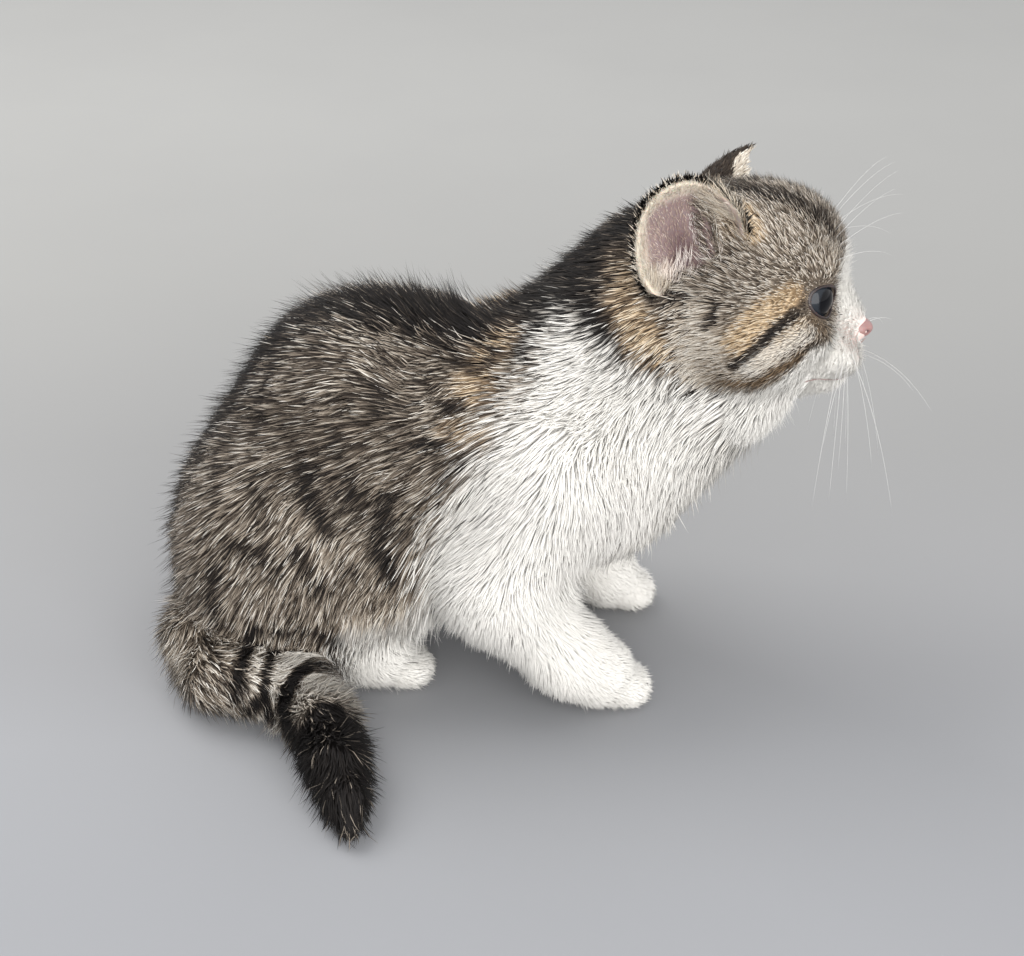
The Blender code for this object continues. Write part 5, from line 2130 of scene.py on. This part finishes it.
@dataclass
class Muzzle:
    """Nose leather, the line of the mouth and the bare skin around them."""

    nose_middle: Triple = (0.0317, 0, -0.0174)
    nose_radii: Triple = (0.0042, 0.0042, 0.0033)
    nostril: Triple = (0.0350, 0.0025, -0.0181)
    nostril_length: float = 0.0013
    nostril_width: float = 0.00068
    nostril_depth: float = 0.0011
    mouth: tuple[Triple, ...] = (
        (0.0150, 0.0146, -0.0286),
        (0.0190, 0.0128, -0.0293),
        (0.0240, 0.0102, -0.0300),
        (0.0285, 0.0065, -0.0303),
        (0.0315, 0.0032, -0.0296),
        (0.0325, 0.0000, -0.0280),
    )
    lip_radius: float = 0.00016
    philtrum: tuple[Triple, ...] = (
        (0.0325, 0, -0.0280), (0.0332, 0, -0.0252), (0.0345, 0, -0.0206),
    )

    @staticmethod
    def local(points: np.ndarray) -> np.ndarray:
        """Places, one a row, seen from the head."""
        return seen_from(head_frame(), points)

    def lines(self) -> list[np.ndarray]:
        """The line of the mouth on both sides, and the groove up to the nose."""
        near = np.array(self.mouth)
        return [near, near * np.array((1, -1, 1)), np.array(self.philtrum)]

    def bare(self, points: np.ndarray) -> np.ndarray:
        """Where no hair grows.

        Args:
            points: Places, one a row.

        Returns:
            True for each bare place.
        """
        local = self.local(points)
        nose = np.linalg.norm((local - np.array(self.nose_middle)) / np.array(self.nose_radii), axis=1) < 1.10
        nose &= local[:, 0] > 0.0326
        crease = np.min([line_distance(local, line) for line in self.lines()], axis=0) < 0.0008
        return nose | crease

    def pinkness(self, points: np.ndarray) -> np.ndarray:
        """How pink the skin shows.

        Args:
            points: Places, one a row.

        Returns:
            Strengths from 0 to 1.
        """
        local = self.local(points)
        front = np.linalg.norm(local - np.array((0.030, 0, -0.022)), axis=1)
        return 0.70 * (1 - smooth_step(0.005, 0.014, front))

    def build_nose(self) -> None:
        """The pink nose leather with its two nostrils."""
        obj = add_ball(96, 64)
        obj.data.transform(Matrix.Rotation(math.pi / 2, 4, "Y"))
        points = take_points(obj.data)
        low = np.clip(-points[:, 2], 0, 1)
        points[:, 1] *= 1 - 0.50 * low**1.5
        points[:, 0] *= 1 + 0.05 * np.cos(points[:, 1] * math.pi) - 0.16 * low
        groove = np.exp(-((points[:, 1] / 0.07) ** 2)) * smooth_step(0.1, -0.3, points[:, 2])
        points[:, 0] -= 0.05 * groove
        points = points * np.array(self.nose_radii) + np.array(self.nose_middle)
        hollow = np.zeros(len(points))
        for side in Side:
            x, y, z = self.nostril
            apart = points - np.array((x, side.value * y, z))
            along = apart @ np.array((0.62, -side.value * 0.62, -0.48))
            across = np.sqrt(np.maximum((apart**2).sum(axis=1) - along**2, 0))
            far = (along / self.nostril_length) ** 2 + (across / self.nostril_width) ** 2
            hollow = np.maximum(hollow, np.exp(-far))
        points -= self.nostril_depth * hollow[:, None] * unit(points - np.array(self.nose_middle))
        put_points(obj.data, points)
        # The hollow also sets where the nose finish paints the nostrils' shade
        add_attribute(obj.data, "hollow", hollow)
        obj.data.transform(head_frame())
        obj.data.shade_smooth()
        finish_piece(obj, "nose_leather", NoseFinish().build(), ("nose",))

    def build_lips(self, flesh: Flesh, finish: bpy.types.Material) -> None:
        """The dark line where the lips meet.

        Args:
            flesh: The body.
            finish: The lips' finish.
        """
        for name, line in zip(("left_lip_line", "right_lip_line", "lip_groove"), self.lines()):
            places = flesh.settle(put_back(head_frame(), self.smooth(line)), -0.0002, False)
            curve = bpy.data.curves.new(name, "CURVE")
            curve.dimensions = "3D"
            curve.bevel_depth = self.lip_radius
            curve.bevel_resolution = 2
            curve.use_fill_caps = True
            spline = curve.splines.new("POLY")
            spline.points.add(len(places) - 1)
            for index, (point, place) in enumerate(zip(spline.points, places)):
                point.co = (*place, 1)
                point.radius = 0.45 if index in (0, len(places) - 1) else 1.0
            select_only(add_object(name, curve))
            bpy.ops.object.convert(target="MESH")
            obj = bpy.context.active_object
            face_out(obj)
            finish_piece(obj, name, finish)

    @staticmethod
    def smooth(line: np.ndarray, steps: int = 4) -> np.ndarray:
        """A soft curve through a line's points.

        Args:
            line: The points.
            steps: How many places for each stretch.

        Returns:
            The curve's places.
        """
        ends = np.vstack((2 * line[0] - line[1], line, 2 * line[-1] - line[-2]))
        places = []
        for a, b, c, d in zip(ends, ends[1:], ends[2:], ends[3:]):
            for share in np.arange(steps) / steps:
                places.append(
                    0.5 * (2 * b + (c - a) * share + (2 * a - 5 * b + 4 * c - d) * share**2)
                    + 0.5 * (3 * b - a - 3 * c + d) * share**3
                )
        places.append(line[-1])
        return np.array(places)


@dataclass(frozen=True)
class NoseFinish:
    """Damp pink nose leather, with painted shade darkening the nostrils."""

    name: str = "nose_leather"
    pink: Paint = (0.34, 0.205, 0.190)
    deep: Paint = (0.25, 0.125, 0.120)
    # Painted shade: the dark inside of the nostrils
    hollow: Paint = (0.06, 0.015, 0.018)

    def build(self) -> bpy.types.Material:
        """Mixes the finish.

        Returns:
            The material.
        """
        graph = Graph(self.name)
        hollow = graph.value(graph.attribute("hollow").outputs["Fac"])
        colour = graph.mix(graph.noise(420.0, 3.0), self.pink, self.deep)
        # Painted shade darkens the nostrils' hollows
        colour = graph.mix((hollow * 1.5 - 0.15).clipped(), colour, self.hollow)
        return graph.surface(
            {
                "Base Color": colour,
                "Roughness": 0.42,
                "Subsurface Weight": 0.15,
                "Subsurface Scale": 0.0015,
                "Normal": graph.bump(graph.noise(2600.0), 0.0001, 0.6),
            }
        )


@dataclass(frozen=True)
class EarShape:
    """Where an ear stands in the head's frame, how it is turned, and how large its cup is."""

    middle: Triple
    up: Triple
    facing: Triple
    half_width: float
    half_height: float
    depth: float
    taper: float
    point: float

    def narrowed(self, y: np.ndarray) -> np.ndarray:
        """The cup's share of its width at heights from -1 at the root to 1 at the top."""
        return 1 - self.taper * y - self.point * np.maximum(y, 0) ** 2


EAR_SHAPES = {
    Side.RIGHT: EarShape(
        (-0.0178, -0.0325, 0.0127), (-0.30, -0.10, 0.92), (0.22, -0.93, 0.18),
        half_width=0.0155, half_height=0.0183, depth=0.0092, taper=0.10, point=0.05,
    ),
    Side.LEFT: EarShape(
        (-0.0125, 0.0235, 0.0120), (0.42, 0.22, 0.88), (0.80, 0.58, -0.28),
        half_width=0.0136, half_height=0.0184, depth=0.0080, taper=0.72, point=0.22,
    ),
}


@dataclass
class EarZones:
    """Where an ear's hairs grow: towards the front, up the cup, near its rim, and in which of its parts."""

    front: np.ndarray
    y: np.ndarray
    rim: np.ndarray
    inner: np.ndarray
    long: np.ndarray
    lobe: np.ndarray
    fringe: np.ndarray
    seam: np.ndarray
    brim: np.ndarray


@dataclass
class Ear:
    """One ear: a thin cup with a fold, furred behind and along its rim."""

    side: Side
    thickness: float = 0.0012
    cells: int = 44
    hair_density: float = 4.8e6
    inner_hair: float = 0.0022
    outer_hair: float = 0.0034
    long_hair: tuple[float, float] = (0.005, 0.009)
    fringe_hair: tuple[float, float] = (0.003, 0.0055)
    lobe_hair: tuple[float, float] = (0.0035, 0.0060)

    @property
    def shape(self) -> EarShape:
        """The ear's place and size."""
        return EAR_SHAPES[self.side]

    @staticmethod
    def disc(s: np.ndarray, t: np.ndarray) -> tuple[np.ndarray, np.ndarray]:
        """The places s and t of a square, laid on a round disc."""
        return s * np.sqrt(1 - t * t / 2), t * np.sqrt(1 - s * s / 2)

    def to_front(self, across: np.ndarray) -> np.ndarray:
        """Places across the cup, counted towards the front of the head."""
        return -self.side.value * across

    def frame(self) -> Matrix:
        """The ear's place and turn.

        Returns:
            The ear's frame: across, up and the way the cup faces.
        """
        up, facing = Vector(self.shape.up).normalized(), Vector(self.shape.facing)
        facing = (facing - up * facing.dot(up)).normalized()
        turn = Matrix((up.cross(facing), up, facing)).transposed().to_4x4()
        return head_frame() @ Matrix.Translation(self.shape.middle) @ turn

    def local(self, points: np.ndarray) -> np.ndarray:
        """Places, one a row, seen from the ear."""
        return seen_from(self.frame(), points)

    def in_cup(self, points: np.ndarray) -> np.ndarray:
        """Which places would stand in the ear's hollow.

        Args:
            points: Places, one a row.

        Returns:
            True for each place in it.
        """
        local = self.local(points)
        x, y = local[:, 0] / self.shape.half_width, local[:, 1] / self.shape.half_height
        flat = (x**2 + y**2 < 0.80) & (y > -0.40) & (self.to_front(x) < 0.15)
        return flat & (local[:, 2] > -self.shape.depth) & (local[:, 2] < 0.006)

    def cup(self, s: np.ndarray, t: np.ndarray) -> np.ndarray:
        """The cup's inner face.

        Args:
            s: From -1 at the back edge to 1 at the front edge.
            t: From -1 at the root to 1 at the top.

        Returns:
            Places in the ear's frame, one a row.
        """
        x, y = self.disc(s, t)
        hollow = (1 - x * x) * (1 - 0.35 * (y + 1) ** 2 / 4) * (1 - np.maximum(y, 0) ** 3)
        front = self.to_front(x)
        fold = 0.0022 * np.exp(-(((front - 0.42 - 0.1 * y) / 0.11) ** 2)) * smooth_step(-0.7, -0.3, y)
        fold *= 1 - smooth_step(0.1, 0.5, y)
        pocket = -0.0012 * np.exp(-(((front + 0.60) / 0.12) ** 2) - ((y + 0.45) / 0.22) ** 2)
        ribs = 0.0004 * np.sin(9 * front + 2 * y) * (1 - x * x) * smooth_step(0.6, 0.0, y)
        lip = 0.0008 * smooth_step(0.80, 1.0, np.hypot(x, y))
        if self.side is Side.RIGHT:
            sunk = 0.0050 * smooth_step(0.35, 0.95, front) * smooth_step(0.55, -0.10, y)
            lip -= np.maximum(sunk, 0.0042 * smooth_step(-0.55, -0.92, y))
        return np.stack(
            (
                x * self.shape.half_width * self.shape.narrowed(y),
                y * self.shape.half_height,
                -self.shape.depth * hollow + fold + pocket + ribs + lip,
            ),
            axis=1,
        )

    def build_cup(self) -> bpy.types.Object:
        """Models the thin cupped sheet.

        Returns:
            The sheet, still without its finish.
        """
        bpy.ops.mesh.primitive_grid_add(x_subdivisions=self.cells, y_subdivisions=self.cells, size=2)
        obj = bpy.context.active_object
        flat = take_points(obj.data)
        s, t = flat[:, 0], flat[:, 1]
        put_points(obj.data, self.cup(s, t))
        modify(obj, "SOLIDIFY", thickness=self.thickness, offset=-1)
        far = np.maximum(np.abs(s), np.abs(t) * (t > -0.5))
        x, y = self.disc(s, t)
        front = self.to_front(x)
        edge = smooth_step(0.66, 0.95, far) * (1 - 0.75 * smooth_step(0.35, 0.75, front))
        edge *= 1 - 0.6 * smooth_step(-0.50, -0.85, y)
        # Painted shade: how far the inside darkens to deep mauve towards the cup's pit
        deep = 0.95 * np.exp(-(((front + 0.10) / 0.28) ** 2) - ((y + 0.14) / 0.46) ** 2)
        back = np.zeros(len(s))
        inner = np.stack((edge, deep, back), axis=1)
        outer = np.stack((smooth_step(0.94, 1.0, far), back, 1 - smooth_step(0.95, 1.0, far)), axis=1)
        add_attribute(obj.data, "ear", np.vstack((inner, outer)))
        triangulate(obj)
        obj.data.transform(self.frame())
        obj.data.shade_smooth()
        unwrap(obj)
        return obj

    def zones(
        self, x: np.ndarray, y: np.ndarray, inner: np.ndarray, chance: np.random.Generator
    ) -> EarZones:
        """Sorts an ear's hairs by where they grow.

        Args:
            x: Their places across the cup.
            y: Their places up the cup.
            inner: Which of them grow on the cup's inner face.
            chance: The random numbers.

        Returns:
            The hairs' zones.
        """
        front, far = self.to_front(x), np.hypot(x, y)
        rim = smooth_step(0.72, 0.95, far)
        long = inner & (y < -0.38) & (np.abs(front) < 0.5) & (chance.random(len(x)) < 0.16)
        lobe = inner & (front > 0.32 + 0.20 * np.maximum(y, 0)) & (y < 0.62) & ~long
        fringe = inner & (y < -0.30) & (front < 0.05) & (far > 0.60) & ~long
        across = front / np.maximum(self.shape.narrowed(y), 0.15)
        seam = (across > 0.40) & (np.hypot(across, y) > 0.76) & (y < 0.92) & (self.side is Side.LEFT)
        brim = (front > 0.45) & (rim > 0.25) & (y < 0.75) & (self.side is Side.RIGHT)
        return EarZones(front, y, rim, inner, long, lobe, fringe, seam, brim)

    def raised(
        self, way: np.ndarray, outward: np.ndarray, zones: EarZones, chance: np.random.Generator
    ) -> np.ndarray:
        """Turns the hairs of the cup's root and front up over the cup.

        Args:
            way: The ways of all hairs.
            outward: The way out at each root.
            zones: The hairs' zones.
            chance: The random numbers.

        Returns:
            The hairs' new ways.
        """
        turn = np.array(self.frame())[:3, :3]
        into_cup = self.side.value * turn[:, 0]
        upward = 0.30 * into_cup * np.sign(zones.front)[:, None] + turn[:, 1]
        upward = along_surface(unit(upward + 0.20 * chance.normal(size=way.shape)), outward)
        way = np.where((zones.long | zones.fringe)[:, None], upward, way)
        lobe_way = unit(0.55 * into_cup + 0.75 * turn[:, 1] + 0.25 * chance.normal(size=way.shape))
        return np.where(zones.lobe[:, None], along_surface(lobe_way, outward), way)

    def hair_lengths(self, zones: EarZones, chance: np.random.Generator) -> np.ndarray:
        """How long each hair is.

        Args:
            zones: The hairs' zones.
            chance: The random numbers.

        Returns:
            Lengths in metres.
        """
        number = len(zones.y)
        length = np.where(zones.inner, self.inner_hair + 0.0008 * zones.rim, self.outer_hair)
        length = length * chance.uniform(0.7, 1.2, number)
        spans = ((zones.long, self.long_hair), (zones.fringe, self.fringe_hair), (zones.lobe, self.lobe_hair))
        for which, span in spans:
            length = np.where(which, chance.uniform(*span, number), length)
        return length

    @staticmethod
    def tints(zones: EarZones, grain: np.ndarray) -> tuple[np.ndarray, np.ndarray]:
        """Marks and shade of each hair: cream inside the rim, dark behind, palest at root and front, and
        darker over the cup's pit as painted shade.

        Args:
            zones: The hairs' zones.
            grain: One random number for each hair.

        Returns:
            Rows of ginger, white and pink, and a shade from dark to pale.
        """
        front, y, rim, inner = zones.front, zones.y, zones.rim, zones.inner
        # Painted shade: the inner hair darkens over the cup's pit
        pit_shade = np.exp(-(((front + 0.05) / 0.26) ** 2) - ((y + 0.14) / 0.42) ** 2)
        shade = np.where(inner, 0.74 + 0.18 * rim - 0.36 * pit_shade, 0.14) + 0.09 * grain
        for which, middle, spread in (
            (zones.lobe, 0.50, 0.30),
            (zones.fringe, 0.90, 0.08),
            (~inner & (rim > 0.5), 0.16, 0.12),
            (zones.seam, 0.88, 0.06),
            (zones.brim & (y <= 0.05), 0.60, 0.28),
            (zones.brim & (y > 0.05), 0.88, 0.08),
        ):
            shade = np.where(which, middle + spread * grain, shade)
        ginger = np.where(inner, 0.30 * rim + 0.12, 0.20)
        pink = np.where(inner & ~zones.lobe, 0.22 * (1 - rim), 0)
        return np.stack((ginger, np.where(zones.long, 0.75, 0.0), pink), axis=1), shade

    def grow(self, cup: bpy.types.Object, chance: np.random.Generator) -> bpy.types.Object:
        """Fine hair over the ear: cream inside the rim, dark behind, long and pale at its front root.

        Args:
            cup: The ear's cup.
            chance: The random numbers.

        Returns:
            The hair, still without its finish.
        """
        roots = scatter(cup, np.full(len(cup.data.polygons), self.hair_density), chance)
        turn = np.array(self.frame())[:3, :3]
        local = self.local(roots.places)
        x, y = local[:, 0] / self.shape.half_width, local[:, 1] / self.shape.half_height
        radial = unit(np.stack((x, y + 0.75, np.zeros(len(x))), axis=1)) @ turn.T
        way = along_surface(radial, roots.outward)
        way = unit(way + 0.22 * chance.normal(size=way.shape))
        zones = self.zones(x, y, roots.outward @ turn[:, 2] > 0.05, chance)
        way = self.raised(way, roots.outward, zones, chance)
        length = self.hair_lengths(zones, chance)
        lift = np.where(zones.inner, 0.22, 0.20) * length
        lift = np.where(zones.long | zones.lobe, 0.35 * length, lift)
        kept = 0.34 + 0.66 * zones.rim + 0.8 * zones.long + 0.5 * zones.lobe + 0.7 * zones.fringe
        keep = chance.random(len(x)) < np.where(zones.inner, kept, 1.0)
        steps = np.array(SHORT_STEPS)
        stretch = np.where(zones.brim, 1.35, 0.7 if self.side is Side.LEFT else 1.0)[:, None, None]
        bend = way[:, None] * (length[:, None] * steps)[:, :, None]
        bend = bend + roots.outward[:, None] * (lift[:, None] * np.sin(steps * 1.6))[:, :, None]
        paths = roots.places[:, None] + bend * stretch
        outward = np.repeat(roots.outward[:, None], 3, axis=1)
        marks, shade = self.tints(zones, chance.normal(size=len(x)))
        # Painted highlight: the hair along the fold's ridge is made white where the light catches the ridge
        fold = zones.inner & (np.abs(zones.front - 0.20) < 0.075) & (y > -0.28) & (y < 0.36) & ~zones.lobe
        fold &= (self.side is Side.RIGHT) & ~zones.long
        marks[fold, 1] = 0.95
        width = np.where(zones.inner, 0.18, 0.38) * MM * chance.uniform(0.8, 1.2, len(x))
        tufts = Tufts(paths[keep], outward[keep], width[keep], (1.0,), roots.spots[keep])
        obj = tufts.build("hair")
        add_attribute(obj.data, "marks", np.repeat(marks[keep], 5, axis=0))
        add_attribute(obj.data, "shade", np.clip(np.repeat(shade[keep], 5), 0, 1))
        return obj

    def build(self, finish: bpy.types.Material, hair: bpy.types.Material) -> None:
        """Models the ear with its hair.

        Args:
            finish: The ear's finish.
            hair: The coat's finish.
        """
        node = self.side.word + "_ear"
        cup = self.build_cup()
        fur = self.grow(cup, np.random.default_rng(SEED + 3 + self.side.value))
        finish_piece(cup, node + "_cup", finish, (node,))
        finish_piece(fur, node + "_hair", hair)


# For each whisker the pixels of its root and tip, and how far the tip stands out, in millimetres
WHISKER_ENDS = (
    ((843, 360), (811, 512), 42), ((846, 356), (828, 508), 40), ((849, 362), (846, 503), 40),
    ((852, 354), (893, 520), 44), ((853, 350), (872, 470), 40), ((848, 366), (838, 470), 38),
    ((859, 350), (932, 412), 54), ((858, 355), (914, 392), 44), ((846, 368), (822, 450), 38),
)
BROW_ENDS = (
    ((833, 236), (900, 170), 14), ((834, 243), (898, 188), 18),
    ((836, 250), (904, 213), 16), ((836, 262), (893, 256), 14),
)


@dataclass
class Whiskers:
    """Long stiff pale hairs of the muzzle and brows, mirrored to the far side."""

    flesh: Flesh
    view: PhotoView
    width: float = 0.00018
    rings: int = 10
    bend: float = 0.16
    brow_bend: float = 0.26
    brow_width: float = 0.42
    tilt: float = 0.05
    furthest: float = 0.1205

    def end(self, pixel: tuple[float, float], out: float) -> np.ndarray:
        """Where a whisker ends.

        Args:
            pixel: Where the picture shows its tip.
            out: How far it stands out from the head's middle, in millimetres.

        Returns:
            The tip's place.
        """
        eye = np.array(self.view.place())
        way = self.view.ways(np.array((pixel,), float))[0]
        return eye + way * ((HEAD_CENTRE.y - out * MM - eye[1]) / way[1])

    def mirrored(self, places: np.ndarray, chance: np.random.Generator) -> np.ndarray:
        """The matching places on the other side of the head, a little different.

        Args:
            places: The places along a whisker.
            chance: The random numbers.

        Returns:
            The mirrored places.
        """
        local = seen_from(head_frame(), places)
        local[:, 1] *= -1
        tilt = chance.normal(size=3) * self.tilt
        local += np.linspace(0, 1, len(local))[:, None] ** 1.3 * np.linalg.norm(local[-1] - local[0]) * tilt
        return put_back(head_frame(), local)

    def kept_in(self, line: np.ndarray) -> np.ndarray:
        """A whisker that reaches no further ahead than the longest one.

        Args:
            line: The places along it.

        Returns:
            The places, drawn back where it is too long.
        """
        reach = line[:, 0].max() - line[0, 0]
        share = min(1.0, (self.furthest - line[0, 0]) / reach) if reach > 0 else 1.0
        drawn = line.copy()
        drawn[:, 0] = line[0, 0] + (line[:, 0] - line[0, 0]) * share
        return drawn

    def build(self, finish: bpy.types.Material) -> None:
        """Models all whiskers as one piece.

        Args:
            finish: The whiskers' finish.
        """
        chance = np.random.default_rng(SEED + 9)
        lines = []
        for ends, bend in ((WHISKER_ENDS, self.bend), (BROW_ENDS, self.brow_bend)):
            roots = self.view.on_coat(self.flesh, tuple(item[0] for item in ends))
            for root, (_, tip_pixel, out) in zip(roots, ends):
                tip = self.end(tip_pixel, out)
                middle = (root + tip) / 2 + np.array((0, 0, 1.0)) * bend * np.linalg.norm(tip - root)
                middle += 0.10 * (tip - root) * np.array((1.0, 0, 0))
                share = np.linspace(0, 1, self.rings)[:, None]
                start = root + 0.0012 * unit(np.array(HEAD_CENTRE) - root)
                line = start * (1 - share) ** 2 + 2 * middle * share * (1 - share) + tip * share**2
                lines += [self.kept_in(line), self.kept_in(self.mirrored(line, chance))]
        paths = np.array(lines)
        outward = np.zeros_like(paths)
        outward[:, :, 2] = 1.0
        taper = tuple(1.0 - 0.75 * share for share in np.linspace(0, 1, self.rings)[1:-1])
        spots = chance.random((len(paths), 2))
        width = np.where(np.arange(len(paths)) < 2 * len(WHISKER_ENDS), 1.0, self.brow_width) * self.width
        obj = Tufts(paths, outward, width, taper, spots, height=0.8, softness=0.0).build("whiskers")
        finish_piece(obj, "whiskers", finish)


@dataclass(frozen=True)
class Studio:
    """The pale floor and soft light."""

    lamp: Paint = (1.0, 0.99, 0.97)
    air: Paint = (0.98, 0.985, 1.0)
    air_strength: float = 1.12

    def build(self) -> None:
        """Adds floor, lights and the colour of the air."""
        bpy.ops.mesh.primitive_plane_add(size=6.0)
        floor = bpy.context.active_object
        floor.name = "floor"
        floor.data.materials.append(FloorFinish().build())
        self.panel("key_panel", (-0.60, 0.35, 1.05), 0.80, 11.0)
        self.panel("front_panel", (0.40, -1.15, 0.50), 1.2, 22.0)
        world = bpy.data.worlds.new("studio")
        world.use_nodes = True
        back = world.node_tree.nodes["Background"]
        back.inputs[0].default_value = (*self.air, 1)
        back.inputs[1].default_value = self.air_strength
        bpy.context.scene.world = world
        bpy.context.scene.view_settings.view_transform = "Standard"

    def panel(self, name: str, place: Triple, size: float, power: float) -> None:
        """One soft square light that shines at the kitten.

        Args:
            name: The light's name.
            place: Where it hangs.
            size: The length of its sides.
            power: Its power in watts.
        """
        data = bpy.data.lights.new(name, "AREA")
        data.size = size
        data.energy = power
        data.color = self.lamp
        light = add_object(name, data)
        light.location = place
        light.rotation_euler = (Vector((0, 0, 0.06)) - Vector(place)).to_track_quat("-Z", "Y").to_euler()


FLESH_NODES = (
    "head", "neck", "chest", "flanks", "rump",
    "left_foreleg", "right_foreleg", "left_forepaw", "right_forepaw",
    "left_thigh", "right_thigh", "left_hind_paw", "right_hind_paw",
    "tail_base", "tail_middle", "tail_tip",
)


def main() -> None:
    """Models the kitten piece by piece."""
    logging.basicConfig(level=logging.INFO, format="%(message)s")
    anatomy = Anatomy()
    flesh = anatomy.flesh()
    view = PhotoView()
    markings = Markings(flesh, view, anatomy)
    skin = Skin(flesh).build()
    coat = Coat(flesh, markings, skin)
    coat.build(skin, FLESH_NODES)
    hair = bpy.data.materials["coat"]
    eye_finish = EyeFinish().build()
    lid_finish = SkinFinish("lids", (0.020, 0.014, 0.014), (0.045, 0.028, 0.026), 0.4).build()
    ear_finish = EarFinish().build()
    for side in Side:
        eye = Eye(side)
        eye.build_ball(eye_finish)
        eye.build_lid(lid_finish)
        Ear(side).build(ear_finish, hair)
    muzzle = Muzzle()
    muzzle.build_nose()
    muzzle.build_lips(flesh, SkinFinish("lips", (0.22, 0.15, 0.14), (0.32, 0.23, 0.21), 0.5).build())
    Whiskers(flesh, view).build(PlainFinish("whisker", (0.74, 0.73, 0.72), (0.60, 0.59, 0.58)).build())
    Studio().build()
    view.build()


if __name__ == "__main__":
    main()
